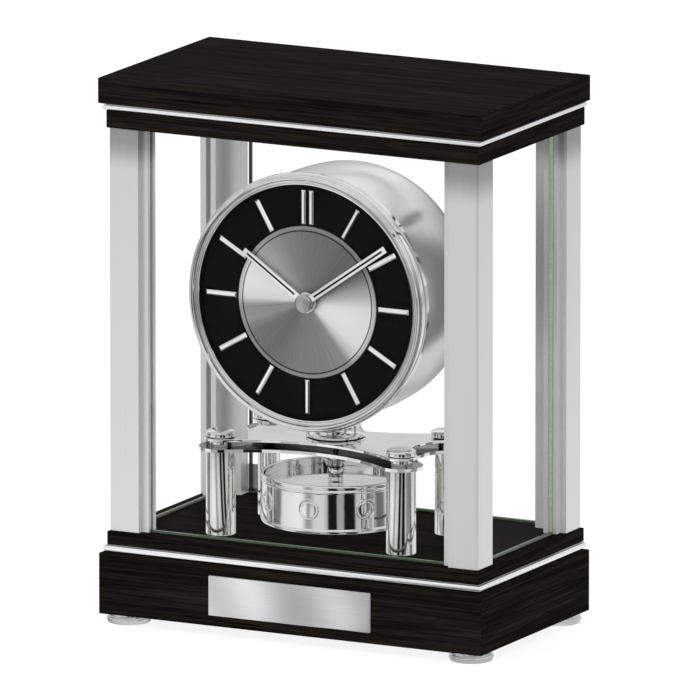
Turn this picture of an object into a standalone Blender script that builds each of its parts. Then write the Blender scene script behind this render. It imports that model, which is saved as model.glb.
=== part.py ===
"""Mantel clock in a glass-sided case: a quartz head on four pillars over a turning pendulum.

Metres, +Z up. X runs to the right, Y towards the back, and Z = 0 is the surface under the feet.
The middle of the case is at X = 0, Y = 0.
"""
import math

import bmesh
import bpy
from mathutils import Matrix, Vector

# ---- Driving dimensions, in metres ----
GAP = 0.0003                    # clearance between neighbouring pieces
FULL_TURN = 2 * math.pi

# Boards, from the bottom up. The wide ones are the plinth and the top slab.
WIDE_HALF = (0.0927, 0.0516)    # half width and half depth of the plinth and the top slab
NARROW_HALF_WIDTH = 0.09005
NARROW_FRONT = -0.0489
CASE_BACK = 0.0516
STRIP_HALF_WIDTH = 0.0913
STRIP_FRONT = -0.0502
FOOT_HEIGHT = 0.0042
PLINTH_TOP = 0.0312
PLINTH_STRIP = (0.0322, 0.0342)
BASE_PANEL = (0.0345, 0.0405)
TOP_PANEL = (0.2180, 0.2259)
TOP_STRIP = (0.2262, 0.2278)
TOP_SLAB = (0.2289, 0.2402)
SLAB_FIELD_INSET = 0.004        # the slab's lowered middle, which rests on the strip
PLINTH_FIELD_INSET = 0.003
BOARD_EDGE = 0.0005

# Feet
FOOT_CENTRE = (0.0829, 0.0418)
FOOT_RADIUS = 0.0097
FOOT_STUD_RADIUS = 0.0020
FOOT_STUD_TOP = 0.0119

# Name plate, let into the plinth's front
PLATE_SIZE = (0.0780, 0.0174)
PLATE_CENTRE_Z = 0.01775
PLATE_FACE_Y = -0.0521
PLATE_BACK_Y = -0.0509

# Corner posts: an L section measured inwards from its two outer faces
POST_OUTER_X = 0.0891
POST_FRONT_Y = -0.0480
POST_REAR_Y = 0.0503
POST_FACE = 0.0142              # width of each main face
POST_STEP = 0.0028              # depth of the rebate beside the main face
POST_ARM = 0.0176               # full length of each arm
POST_INNER = 0.0096             # depth of the inner faces
POST_CHAMFER = 0.0008
SLOT = (0.0047, 0.0071)         # the glass slot's two walls, from the outer face
SLOT_BOTTOM = 0.0143            # how far the slot's bottom lies from the corner

# Glass
GLASS_OUTER = 0.0050            # the fixed panes' outer face, from the post's outer face
GLASS_THICKNESS = 0.0018

# Rear door
DOOR_AXIS = (-0.0730, 0.0493)
DOOR_GLASS_X = (-0.0712, 0.0744)
DOOR_GLASS_Y = (0.0480, 0.0498)
DOOR_Z = (0.0410, 0.2175)
DOOR_BARREL_RADIUS = 0.0015
DOOR_PIN_RADIUS = 0.0007
DOOR_PIN_HOLE_RADIUS = 0.00095
DOOR_CLIP_HEIGHT = 0.012
DOOR_CLIP_LENGTH = 0.015
DOOR_CLIP_Y = (0.0501, 0.0509)
DOOR_KNOB = (0.0360, 0.1292)    # X and Z
DOOR_KNOB_HOLE = 0.0018
CATCH_X = (0.0520, 0.0640)
CATCH_BOTTOM = 0.2100
CATCH_Y = (0.0405, 0.0465)
STRIKER_Y = (0.0469, 0.0477)
STRIKER_TOP = 0.2170

# Stand
STAND_Y = -0.0076               # the pendulum's and the pedestal's axis
FRONT_PILLAR = (0.0437, -0.0312)
REAR_PILLAR = (0.0430, 0.0125)
LOWER_PLATE = (0.0781, 0.0795)
UPPER_PLATE = (0.0821, 0.0835)
PLATE_ARC_STEPS = 10
LOWER_EAR = 0.0096              # radius of the plates' round ears
UPPER_EAR = 0.0072
LOWER_INSETS = (0.005, 0.0015, 0.005, 0.0015)    # how far each side's arc is hollowed
UPPER_INSETS = (0.006, 0.004, 0.006, 0.004)
FRONT_PILLAR_RADII = (0.00645, 0.0047)           # the body, and the neck in the lower plate
REAR_PILLAR_RADII = (0.00485, 0.0036)
STUD_RADIUS = 0.0022
STUD_TOP = 0.0858
STUD_HOLE = 0.0025
CAP_RADIUS = 0.0065
CAP_TOP = 0.0868
CAP_SHOULDER = 0.0861
SPINDLE_RADIUS = 0.0010
SPINDLE_HOLE = 0.0013
PLATE_HOLE = 0.0015             # the spindle's hole through the plates
PEDESTAL_RADIUS = 0.0130
PEDESTAL_HEIGHT = 0.0110
SPINDLE_WAY = 0.0018            # the spindle's way through the pedestal

# Pendulum
DRUM_RADIUS = 0.0326
DRUM_BOTTOM = 0.0468
DRUM_TOP = 0.0680
DRUM_PLATE_TOP = 0.0638
DIMPLE_COUNT = 8
DIMPLE_RADIUS = 0.0044
DIMPLE_HEIGHT = 0.0574
DIMPLE_PROUD = 0.0003
DIMPLE_DEPTH = 0.0012           # how deep each boss is sunk into the wall
FIRST_DIMPLE = math.radians(-84.3)
SPINDLE_TOP = 0.0972
HUB_RADIUS = 0.0035
HUB_TOP = 0.0692
BEARING_RADIUS = 0.0040
BEARING_BOTTOM = 0.0696
MOTOR_RADIUS = 0.0090
MOTOR_Z = (0.0946, 0.1080)
MOTOR_SOCKET_TOP = 0.0980

# Head
AXIS_Z = 0.1472                 # height of the dial's centre
CASE_RADIUS = 0.0550
CASE_WALL = 0.0012
DIAL_FRONT = -0.0338
DIAL_RADIUS = 0.0530
CENTRE_DISC_RADIUS = 0.0333
MARKER_START = 0.0341
MARKER_END = 0.0490
MARKER_WIDTH = 0.0023
MARKER_PAIR_OFFSET = 0.00184    # half the spacing of the two bars at twelve
MARKER_FRONT = -0.0350
MARKER_DEPTH = 0.0017
DIAL_HOLE = 0.0037
DIAL_THICKNESS = 0.0010
DISC_THICKNESS = 0.0005

# Hands, standing at nine minutes past ten
MINUTE_ANGLE = math.radians(55.0)
HOUR_ANGLE = math.radians(304.6)
HAND_WIDTH = 0.0031
HAND_HUB_RADIUS = 0.0038
MINUTE_BORE = 0.0015
HOUR_BORE = 0.0024
ARBOR_RADIUS = 0.0012
PIPE_RADIUS = 0.0021            # the hour wheel's pipe
FIXED_PIPE_RADIUS = 0.0033
MINUTE_LENGTH = 0.0480
HOUR_LENGTH = 0.0360
HOUR_HAND_Y = (-0.0369, -0.0362)
MINUTE_HAND_Y = (-0.0380, -0.0373)

# Movement
MOVEMENT_HALF = 0.0280
MOVEMENT_FRONT = -0.0325
MOVEMENT_JOINT = (-0.0310, -0.0307)     # rear of the front plate, front of the rear case
MOVEMENT_REAR = -0.0145
MOVEMENT_WALL = 0.0012
CELL_POCKET_TOP = 0.1356
MODULE_Y = (-0.0269, -0.0165)
WHEEL_POST_RADIUS = 0.0008
SETTING_ARBOR_RADIUS = 0.0014
SETTING_WAY = 0.0018
TRAIN_LAYER = (-0.0292, -0.0280)    # cannon pinion, minute wheel, setting pinion
HOUR_LAYER = (-0.0306, -0.0296)     # hour wheel and the minute wheel's own pinion
TRAIN_DISTANCE = 0.0120             # between meshing axes
CANNON_TEETH = 12
MINUTE_WHEEL_TEETH = 36
MINUTE_PINION_TEETH = 10
HOUR_WHEEL_TEETH = 40
CELL_RADIUS = 0.00725
CELL_LENGTH = 0.0495
CELL_CENTRE = (-0.0222, 0.12795)    # Y and Z
KNOB_RADIUS = 0.0060
KNOB_FLUTES = 16
KNOB_FLUTE_DEPTH = 0.0004

ROUND_STEPS = 48                # segments of the large turned pieces
SMALL_STEPS = 18                # segments of the small ones


# ---- Scene and materials ----
def clear_scene():
    """Removes what the file starts with."""
    for item in list(bpy.data.objects):
        bpy.data.objects.remove(item, do_unlink=True)


def new_collection(name):
    """A collection linked to the scene."""
    made = bpy.data.collections.new(name)
    bpy.context.scene.collection.children.link(made)
    return made


clear_scene()
CLOCK = new_collection("mantel_clock")
CUTTERS = new_collection("cutters")


def finish_material(name, colour, roughness, metallic=0.0, alpha=1.0):
    """A Principled material with one colour, roughness and metallic value."""
    made = bpy.data.materials.new(name)
    made.use_nodes = True
    shader = made.node_tree.nodes["Principled BSDF"]
    shader.inputs["Base Color"].default_value = (*colour, 1.0)
    shader.inputs["Roughness"].default_value = roughness
    shader.inputs["Metallic"].default_value = metallic
    shader.inputs["Alpha"].default_value = alpha
    return made


EBONY = finish_material("ebony_wood", (0.012, 0.011, 0.009), 0.35)
SATIN = finish_material("satin_aluminium", (0.62, 0.64, 0.62), 0.35, 1.0)
CHROME = finish_material("chrome", (0.78, 0.79, 0.78), 0.08, 1.0)
GLASS = finish_material("clear_glass", (0.85, 0.92, 0.88), 0.02, 0.0, 0.15)
DIAL_BLACK = finish_material("dial_black", (0.006, 0.006, 0.005), 0.12)
SPUN_SILVER = finish_material("spun_silver", (0.45, 0.46, 0.44), 0.4, 1.0)
HAND_METAL = finish_material("hand_metal", (0.85, 0.85, 0.84), 0.15, 1.0)
STEEL = finish_material("steel", (0.5, 0.5, 0.5), 0.3, 1.0)
BLACK_PLASTIC = finish_material("black_plastic", (0.015, 0.015, 0.015), 0.5)
WHITE_PLASTIC = finish_material("white_plastic", (0.75, 0.75, 0.72), 0.45)
CELL_WRAP = finish_material("cell_wrap", (0.05, 0.10, 0.22), 0.3)


# ---- Making solids ----
def add_piece(name, mesh, material, parent=None, location=(0, 0, 0), rotation=(0, 0, 0)):
    """Puts a mesh in the clock's collection as a named piece."""
    piece = bpy.data.objects.new(name, mesh)
    piece.location = location
    piece.rotation_euler = rotation
    piece.parent = parent
    mesh.materials.append(material)
    CLOCK.objects.link(piece)
    return piece


def add_cutter(name, mesh, location=(0, 0, 0), rotation=(0, 0, 0)):
    """Puts a mesh in the cutters' collection, shown as wires only."""
    cutter = bpy.data.objects.new(name, mesh)
    cutter.location = location
    cutter.rotation_euler = rotation
    cutter.hide_render = True
    cutter.display_type = "WIRE"
    CUTTERS.objects.link(cutter)
    return cutter


def box_mesh(name, low, high, centre):
    """A box between two corners, as a mesh around its own centre."""
    mesh = bpy.data.meshes.new(name)
    form = bmesh.new()
    bmesh.ops.create_cube(form, size=1.0)
    size = [high[axis] - low[axis] for axis in range(3)]
    bmesh.ops.scale(form, vec=size, verts=form.verts)
    middle = Vector([(high[axis] + low[axis]) / 2 for axis in range(3)])
    bmesh.ops.translate(form, vec=middle - Vector(centre), verts=form.verts)
    form.to_mesh(mesh)
    form.free()
    return mesh


def board(name, low, high, material, edge=BOARD_EDGE, parent=None, origin=None):
    """A box with softened edges."""
    centre = origin or [(low[axis] + high[axis]) / 2 for axis in range(3)]
    location = Vector(centre) - (parent.location if parent else Vector((0, 0, 0)))
    piece = add_piece(name, box_mesh(name, low, high, centre), material, parent, location)
    if edge:
        bevel = piece.modifiers.new("softened_edges", "BEVEL")
        bevel.width = edge
        bevel.segments = 2
    return piece


def box_cutter(name, low, high):
    """A box that cuts or joins."""
    centre = [(low[axis] + high[axis]) / 2 for axis in range(3)]
    return add_cutter(name, box_mesh(name, low, high, centre), centre)


def rod_mesh(name, radius, length, steps=SMALL_STEPS):
    """A cylinder along local Z, from 0 up to its length."""
    mesh = bpy.data.meshes.new(name)
    form = bmesh.new()
    bmesh.ops.create_cone(
        form, cap_ends=True, segments=steps, radius1=radius, radius2=radius, depth=length
    )
    bmesh.ops.translate(form, vec=(0, 0, length / 2), verts=form.verts)
    form.to_mesh(mesh)
    form.free()
    return mesh


UPRIGHT = (0, 0, 0)
FACING_FRONT = (math.pi / 2, 0, 0)    # local Z points to the front, local Y points up
ALONG_X = (0, math.pi / 2, 0)


def rod_cutter(name, radius, start, length, facing=UPRIGHT, steps=SMALL_STEPS):
    """A cylinder that cuts or joins, from its start point along its facing."""
    return add_cutter(name, rod_mesh(name, radius, length, steps), start, facing)


def use_boolean(piece, tool, operation):
    """Cuts a piece with a tool, or joins the tool to it."""
    modifier = piece.modifiers.new(tool.name, "BOOLEAN")
    modifier.operation = operation
    modifier.solver = "EXACT"
    modifier.object = tool


def cut(piece, *tools):
    for tool in tools:
        use_boolean(piece, tool, "DIFFERENCE")


def join(piece, *tools):
    for tool in tools:
        use_boolean(piece, tool, "UNION")


def evaluated_mesh(source, name):
    """The mesh that an object's modifiers or curve give, welded and shaded round."""
    graph = bpy.context.evaluated_depsgraph_get()
    graph.update()
    mesh = bpy.data.meshes.new_from_object(source.evaluated_get(graph))
    mesh.name = name
    form = bmesh.new()
    form.from_mesh(mesh)
    bmesh.ops.remove_doubles(form, verts=form.verts, dist=1e-7)
    form.to_mesh(mesh)
    form.free()
    mesh.materials.clear()
    mesh.shade_smooth()
    mesh.set_sharp_from_angle(angle=math.radians(35))
    return mesh


def turned_mesh(name, profile, steps, closed):
    """Turns a profile of (radius, height) points about local Z. The outer side runs top to bottom."""
    line = bpy.data.meshes.new(name + "_profile")
    edges = [(i, i + 1) for i in range(len(profile) - 1)]
    if closed:
        edges.append((len(profile) - 1, 0))
    line.from_pydata([(radius, 0, height) for radius, height in profile], edges, [])
    guide = bpy.data.objects.new(name + "_profile", line)
    CUTTERS.objects.link(guide)
    screw = guide.modifiers.new("turn", "SCREW")
    screw.axis = "Z"
    screw.angle = FULL_TURN
    screw.steps = steps
    screw.render_steps = steps
    screw.use_merge_vertices = True
    screw.merge_threshold = 0.00001
    mesh = evaluated_mesh(guide, name)
    bpy.data.objects.remove(guide)
    return mesh


def turned(name, profile, origin, material, facing=UPRIGHT, steps=SMALL_STEPS, parent=None, ring=False):
    """A turned piece. A ring's profile is a closed loop that never reaches the axis."""
    location = Vector(origin) - (parent.location if parent else Vector((0, 0, 0)))
    mesh = turned_mesh(name, profile, steps, ring)
    return add_piece(name, mesh, material, parent, location, facing)


def flat_mesh(name, outline, thickness, holes=()):
    """An outline in local XY, filled and given a thickness from 0 up along local Z."""
    curve = bpy.data.curves.new(name, "CURVE")
    curve.dimensions = "2D"
    curve.fill_mode = "BOTH"
    curve.extrude = thickness / 2
    for points in (outline, *holes):
        spline = curve.splines.new("POLY")
        spline.points.add(len(points) - 1)
        for point, (x, y) in zip(spline.points, points):
            point.co = (x, y, 0, 1)
        spline.use_cyclic_u = True
    guide = bpy.data.objects.new(name + "_outline", curve)
    CUTTERS.objects.link(guide)
    mesh = evaluated_mesh(guide, name)
    bpy.data.objects.remove(guide)
    mesh.transform(Matrix.Translation((0, 0, thickness / 2)))
    return mesh


def circle_points(radius, steps, centre=(0, 0)):
    """Points round a circle."""
    turns = [FULL_TURN * i / steps for i in range(steps)]
    return [(centre[0] + radius * math.cos(a), centre[1] + radius * math.sin(a)) for a in turns]


def pivot(name, location):
    """An empty on a joint's axis."""
    made = bpy.data.objects.new(name, None)
    made.location = location
    made.empty_display_size = 0.01
    CLOCK.objects.link(made)
    return made


# ---- Case ----
def make_boards():
    """The dark boards and the bright strips between them."""
    wide_x, wide_y = WIDE_HALF
    plinth = board("plinth", (-wide_x, -wide_y, FOOT_HEIGHT), (wide_x, wide_y, PLINTH_TOP), EBONY)
    inset = PLINTH_FIELD_INSET
    field_low = (-wide_x + inset, -wide_y + inset, PLINTH_TOP - 0.001)
    field_high = (wide_x - inset, wide_y - inset, PLINTH_STRIP[0] - GAP)
    join(plinth, box_cutter("plinth_field", field_low, field_high))
    half_plate = [size / 2 + GAP for size in PLATE_SIZE]
    pocket_low = (-half_plate[0], -wide_y - 0.002, PLATE_CENTRE_Z - half_plate[1])
    pocket_high = (half_plate[0], PLATE_BACK_Y + GAP, PLATE_CENTRE_Z + half_plate[1])
    cut(plinth, box_cutter("plate_pocket", pocket_low, pocket_high))
    for side, row, x, y in foot_places():
        start = (x, y, FOOT_HEIGHT - 0.001)
        depth = FOOT_STUD_TOP + GAP - start[2]
        cut(plinth, rod_cutter(f"stud_hole_{row}_{side}", FOOT_STUD_RADIUS + GAP, start, depth))

    for name, (bottom, top) in (("plinth_strip", PLINTH_STRIP), ("top_strip", TOP_STRIP)):
        low = (-STRIP_HALF_WIDTH, STRIP_FRONT, bottom)
        high = (STRIP_HALF_WIDTH, CASE_BACK - GAP, top)
        board(name, low, high, SATIN, edge=0.0007)

    base_low = (-NARROW_HALF_WIDTH, NARROW_FRONT, BASE_PANEL[0])
    base_high = (NARROW_HALF_WIDTH, CASE_BACK, BASE_PANEL[1])
    base = board("base_panel", base_low, base_high, EBONY)
    lid_low = (-NARROW_HALF_WIDTH, NARROW_FRONT, TOP_PANEL[0])
    lid_high = (NARROW_HALF_WIDTH, CASE_BACK, TOP_PANEL[1])
    lid = board("top_lower_panel", lid_low, lid_high, EBONY)
    pin_depth = 0.003
    low_start = (*DOOR_AXIS, BASE_PANEL[1] - pin_depth)
    high_start = (*DOOR_AXIS, TOP_PANEL[0] - 0.001)
    cut(base, rod_cutter("lower_pin_hole", DOOR_PIN_HOLE_RADIUS, low_start, pin_depth + 0.001))
    cut(lid, rod_cutter("upper_pin_hole", DOOR_PIN_HOLE_RADIUS, high_start, pin_depth + 0.001))

    slab = board("top_slab", (-wide_x, -wide_y, TOP_SLAB[0]), (wide_x, wide_y, TOP_SLAB[1]), EBONY)
    inset = SLAB_FIELD_INSET
    field_low = (-wide_x + inset, -wide_y + inset, TOP_STRIP[1] + GAP)
    field_high = (wide_x - inset, wide_y - inset, TOP_SLAB[0] + 0.001)
    join(slab, box_cutter("slab_field", field_low, field_high))


def foot_places():
    """Each foot's side, row and centre."""
    x, y = FOOT_CENTRE
    return [
        ("left", "front", -x, -y), ("right", "front", x, -y),
        ("left", "rear", -x, y), ("right", "rear", x, y),
    ]


def make_feet():
    """Stepped turned feet, each with a stud up into the plinth."""
    shoulder = FOOT_HEIGHT - GAP
    profile = [
        (0, FOOT_STUD_TOP), (FOOT_STUD_RADIUS, FOOT_STUD_TOP), (FOOT_STUD_RADIUS, shoulder),
        (0.0086, shoulder), (0.0088, 0.0029), (FOOT_RADIUS, 0.0024),
        (FOOT_RADIUS, 0.0005), (FOOT_RADIUS - 0.0005, 0), (0, 0),
    ]
    for side, row, x, y in foot_places():
        turned(f"foot_{row}_{side}", profile, (x, y, 0), CHROME)


def post_outline(slotted_end):
    """An L section measured inwards from its outer corner. The X arm may have a glass slot in its end."""
    x_arm_slot = [
        (POST_ARM, SLOT[0]), (SLOT_BOTTOM, SLOT[0]), (SLOT_BOTTOM, SLOT[1]), (POST_ARM, SLOT[1]),
    ]
    return [
        (POST_CHAMFER, 0), (POST_FACE, 0), (POST_FACE, POST_STEP), (POST_ARM, POST_STEP),
        *(x_arm_slot if slotted_end else []),
        (POST_ARM, POST_INNER), (POST_INNER, POST_INNER), (POST_INNER, POST_ARM),
        (SLOT[1], POST_ARM), (SLOT[1], SLOT_BOTTOM), (SLOT[0], SLOT_BOTTOM), (SLOT[0], POST_ARM),
        (POST_STEP, POST_ARM), (POST_STEP, POST_FACE), (0, POST_FACE), (0, POST_CHAMFER),
    ]


def make_posts():
    """Four extruded corner posts. The rear ones' X arms have no slot, because the door lies on them."""
    bottom = BASE_PANEL[1] + GAP
    height = TOP_PANEL[0] - GAP - bottom
    for row, corner_y, inwards_y in (("front", POST_FRONT_Y, 1), ("rear", POST_REAR_Y, -1)):
        for side, inwards_x in (("left", 1), ("right", -1)):
            section = post_outline(row == "front")
            outline = [(inwards_x * x, inwards_y * y) for x, y in section]
            corner = (-inwards_x * POST_OUTER_X, corner_y, bottom)
            name = f"post_{row}_{side}"
            add_piece(name, flat_mesh(name, outline, height), SATIN, location=corner)


def make_fixed_glass():
    """The front pane and the two side panes, standing in the posts' slots."""
    bottom = BASE_PANEL[1] + GAP
    top = TOP_PANEL[0] - GAP
    reach = POST_OUTER_X - SLOT_BOTTOM - GAP
    face = POST_FRONT_Y + GLASS_OUTER
    board("front_glass", (-reach, face, bottom), (reach, face + GLASS_THICKNESS, top), GLASS, 0.0002)
    front_edge = POST_FRONT_Y + SLOT_BOTTOM + GAP
    rear_edge = POST_REAR_Y - SLOT_BOTTOM - GAP
    outer = POST_OUTER_X - GLASS_OUTER
    inner = outer - GLASS_THICKNESS
    board("right_glass", (inner, front_edge, bottom), (outer, rear_edge, top), GLASS, 0.0002)
    board("left_glass", (-outer, front_edge, bottom), (-inner, rear_edge, top), GLASS, 0.0002)


def make_name_plate():
    """A blank plate let into the plinth."""
    half_x, half_z = PLATE_SIZE[0] / 2, PLATE_SIZE[1] / 2
    low = (-half_x, PLATE_FACE_Y, PLATE_CENTRE_Z - half_z)
    high = (half_x, PLATE_BACK_Y, PLATE_CENTRE_Z + half_z)
    board("name_plate", low, high, HAND_METAL, edge=0.0002)


def make_door():
    """The rear glass door with its hinge clips, knob and striker, and the catch that holds it."""
    middle = (DOOR_Z[0] + DOOR_Z[1]) / 2
    hinge = pivot("door_hinge_axis", (*DOOR_AXIS, middle))
    glass_low = (DOOR_GLASS_X[0], DOOR_GLASS_Y[0], DOOR_Z[0])
    glass_high = (DOOR_GLASS_X[1], DOOR_GLASS_Y[1], DOOR_Z[1])
    glass = board("rear_glass", glass_low, glass_high, GLASS, 0.0002, hinge, hinge.location)
    knob_x, knob_z = DOOR_KNOB
    hole_start = (knob_x, DOOR_GLASS_Y[1] + 0.001, knob_z)
    cut(glass, rod_cutter("knob_hole", DOOR_KNOB_HOLE, hole_start, 0.004, FACING_FRONT))

    pin_length = 0.0020
    pin_root = 0.0005
    for name, bottom, pin_start in (
        ("door_hinge_clip_lower", DOOR_Z[0], DOOR_Z[0] - pin_length),
        ("door_hinge_clip_upper", DOOR_Z[1] - DOOR_CLIP_HEIGHT, DOOR_Z[1] - pin_root),
    ):
        low = (DOOR_AXIS[0], DOOR_CLIP_Y[0], bottom)
        high = (DOOR_AXIS[0] + DOOR_CLIP_LENGTH, DOOR_CLIP_Y[1], bottom + DOOR_CLIP_HEIGHT)
        clip = board(name, low, high, STEEL, 0, hinge, hinge.location)
        barrel_start = (*DOOR_AXIS, bottom)
        barrel = rod_cutter(name + "_barrel", DOOR_BARREL_RADIUS, barrel_start, DOOR_CLIP_HEIGHT)
        pin_start = (*DOOR_AXIS, pin_start)
        pin = rod_cutter(name + "_pin", DOOR_PIN_RADIUS, pin_start, pin_length + pin_root)
        join(clip, barrel, pin)

    knob = [
        (0, -0.0465), (0.0030, -0.0465), (0.0030, -0.0477), (0.0015, -0.0477), (0.0015, -0.0501),
        (0.0032, -0.0501), (0.0040, -0.0510), (0.0040, -0.0524), (0.0034, -0.0530), (0, -0.0530),
    ]
    turned("door_knob", knob, (knob_x, 0, knob_z), CHROME, FACING_FRONT, parent=hinge)
    striker_low = (CATCH_X[0], STRIKER_Y[0], CATCH_BOTTOM)
    striker_high = (CATCH_X[1], STRIKER_Y[1], STRIKER_TOP)
    board("door_striker", striker_low, striker_high, STEEL, 0, hinge)
    catch_low = (CATCH_X[0], CATCH_Y[0], CATCH_BOTTOM)
    catch_high = (CATCH_X[1], CATCH_Y[1], TOP_PANEL[0] - GAP)
    board("magnetic_catch", catch_low, catch_high, STEEL, 0.0004)


# ---- Stand ----
def pillar_places():
    """Each pillar's row, side and centre, going round the plates."""
    front_x, front_y = FRONT_PILLAR
    rear_x, rear_y = REAR_PILLAR
    return [
        ("front", "left", -front_x, front_y), ("front", "right", front_x, front_y),
        ("rear", "right", rear_x, rear_y), ("rear", "left", -rear_x, rear_y),
    ]


def arc_points(centre, radius, start, end, steps):
    """Points from one angle to another, both ends included."""
    angles = [start + (end - start) * i / steps for i in range(steps + 1)]
    return [(centre.x + radius * math.cos(a), centre.y + radius * math.sin(a)) for a in angles]


def plate_outline(ear_radius, insets):
    """Round ears about the pillars, joined by concave arcs that touch them.
    An inset is how far the middle of an arc lies inside the line between two pillars."""
    ears = [Vector((x, y)) for _, _, x, y in pillar_places()]
    hollows = []
    for index, ear in enumerate(ears):
        following = ears[(index + 1) % 4]
        along = (following - ear).normalized()
        outwards = Vector((along.y, -along.x))
        half = (following - ear).length / 2
        reach = insets[index] + ear_radius
        distance = (half ** 2 - reach ** 2) / (2 * reach)
        hollows.append(((ear + following) / 2 + outwards * distance, distance + insets[index]))
    points = []
    for index, ear in enumerate(ears):
        before, after = hollows[index - 1][0], hollows[index][0]
        start = math.atan2(before.y - ear.y, before.x - ear.x)
        end = math.atan2(after.y - ear.y, after.x - ear.x)
        while end < start:
            end += FULL_TURN
        points += arc_points(ear, ear_radius, start, end, PLATE_ARC_STEPS)
        centre, radius = hollows[index]
        following = ears[(index + 1) % 4]
        start = math.atan2(ear.y - centre.y, ear.x - centre.x)
        end = math.atan2(following.y - centre.y, following.x - centre.x)
        while end > start:
            end -= FULL_TURN
        points += arc_points(centre, radius, start, end, PLATE_ARC_STEPS)[1:-1]
    return points


def pillar_radii(row):
    """A pillar's body radius, and the radius of the neck that passes through the lower plate."""
    return FRONT_PILLAR_RADII if row == "front" else REAR_PILLAR_RADII


def make_plates():
    """The two bright plates that the pillars carry."""
    necks = [circle_points(pillar_radii(row)[1] + GAP, SMALL_STEPS, (x, y))
             for row, _, x, y in pillar_places()]
    studs = [circle_points(STUD_HOLE, SMALL_STEPS, (x, y)) for _, _, x, y in pillar_places()]
    middle = [circle_points(PLATE_HOLE, SMALL_STEPS, (0, STAND_Y))]
    for name, (bottom, top), ear, insets, holes in (
        ("lower_plate", LOWER_PLATE, LOWER_EAR, LOWER_INSETS, necks),
        ("upper_plate", UPPER_PLATE, UPPER_EAR, UPPER_INSETS, studs),
    ):
        mesh = flat_mesh(name, plate_outline(ear, insets), top - bottom, holes + middle)
        add_piece(name, mesh, CHROME, location=(0, 0, bottom))


def make_pillars():
    """Pillars with a neck through the lower plate and a stud through the upper one, and their caps."""
    for row, side, x, y in pillar_places():
        body, neck = pillar_radii(row)
        bottom = BASE_PANEL[1] + GAP
        profile = [
            (0, STUD_TOP), (STUD_RADIUS, STUD_TOP), (STUD_RADIUS, UPPER_PLATE[0] - GAP),
            (neck, UPPER_PLATE[0] - GAP), (neck, LOWER_PLATE[0] - GAP), (body, LOWER_PLATE[0] - GAP),
            (body, bottom + 0.0004), (body - 0.0004, bottom), (0, bottom),
        ]
        turned(f"pillar_{row}_{side}", profile, (x, y, 0), CHROME)
        base = UPPER_PLATE[1] + GAP
        cap = [
            (0, CAP_TOP), (CAP_RADIUS - 0.0009, CAP_TOP), (CAP_RADIUS, CAP_SHOULDER), (CAP_RADIUS, base),
            (STUD_HOLE, base), (STUD_HOLE, CAP_SHOULDER), (0, CAP_SHOULDER),
        ]
        turned(f"pillar_cap_{row}_{side}", cap, (x, y, 0), CHROME)


def make_pedestal():
    """The round neck under the head, hollowed to the head's own curve."""
    base = UPPER_PLATE[1] + GAP
    mesh = rod_mesh("pedestal", PEDESTAL_RADIUS, PEDESTAL_HEIGHT, 32)
    pedestal = add_piece("pedestal", mesh, CHROME, location=(0, STAND_Y, base))
    saddle_start = (0, STAND_Y + 0.02, AXIS_Z)
    saddle = rod_cutter("saddle", CASE_RADIUS + GAP, saddle_start, 0.04, FACING_FRONT, ROUND_STEPS)
    bore_start = (0, STAND_Y, base - 0.001)
    bore = rod_cutter("pedestal_bore", SPINDLE_WAY, bore_start, PEDESTAL_HEIGHT + 0.002)
    cut(pedestal, saddle, bore)


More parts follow.
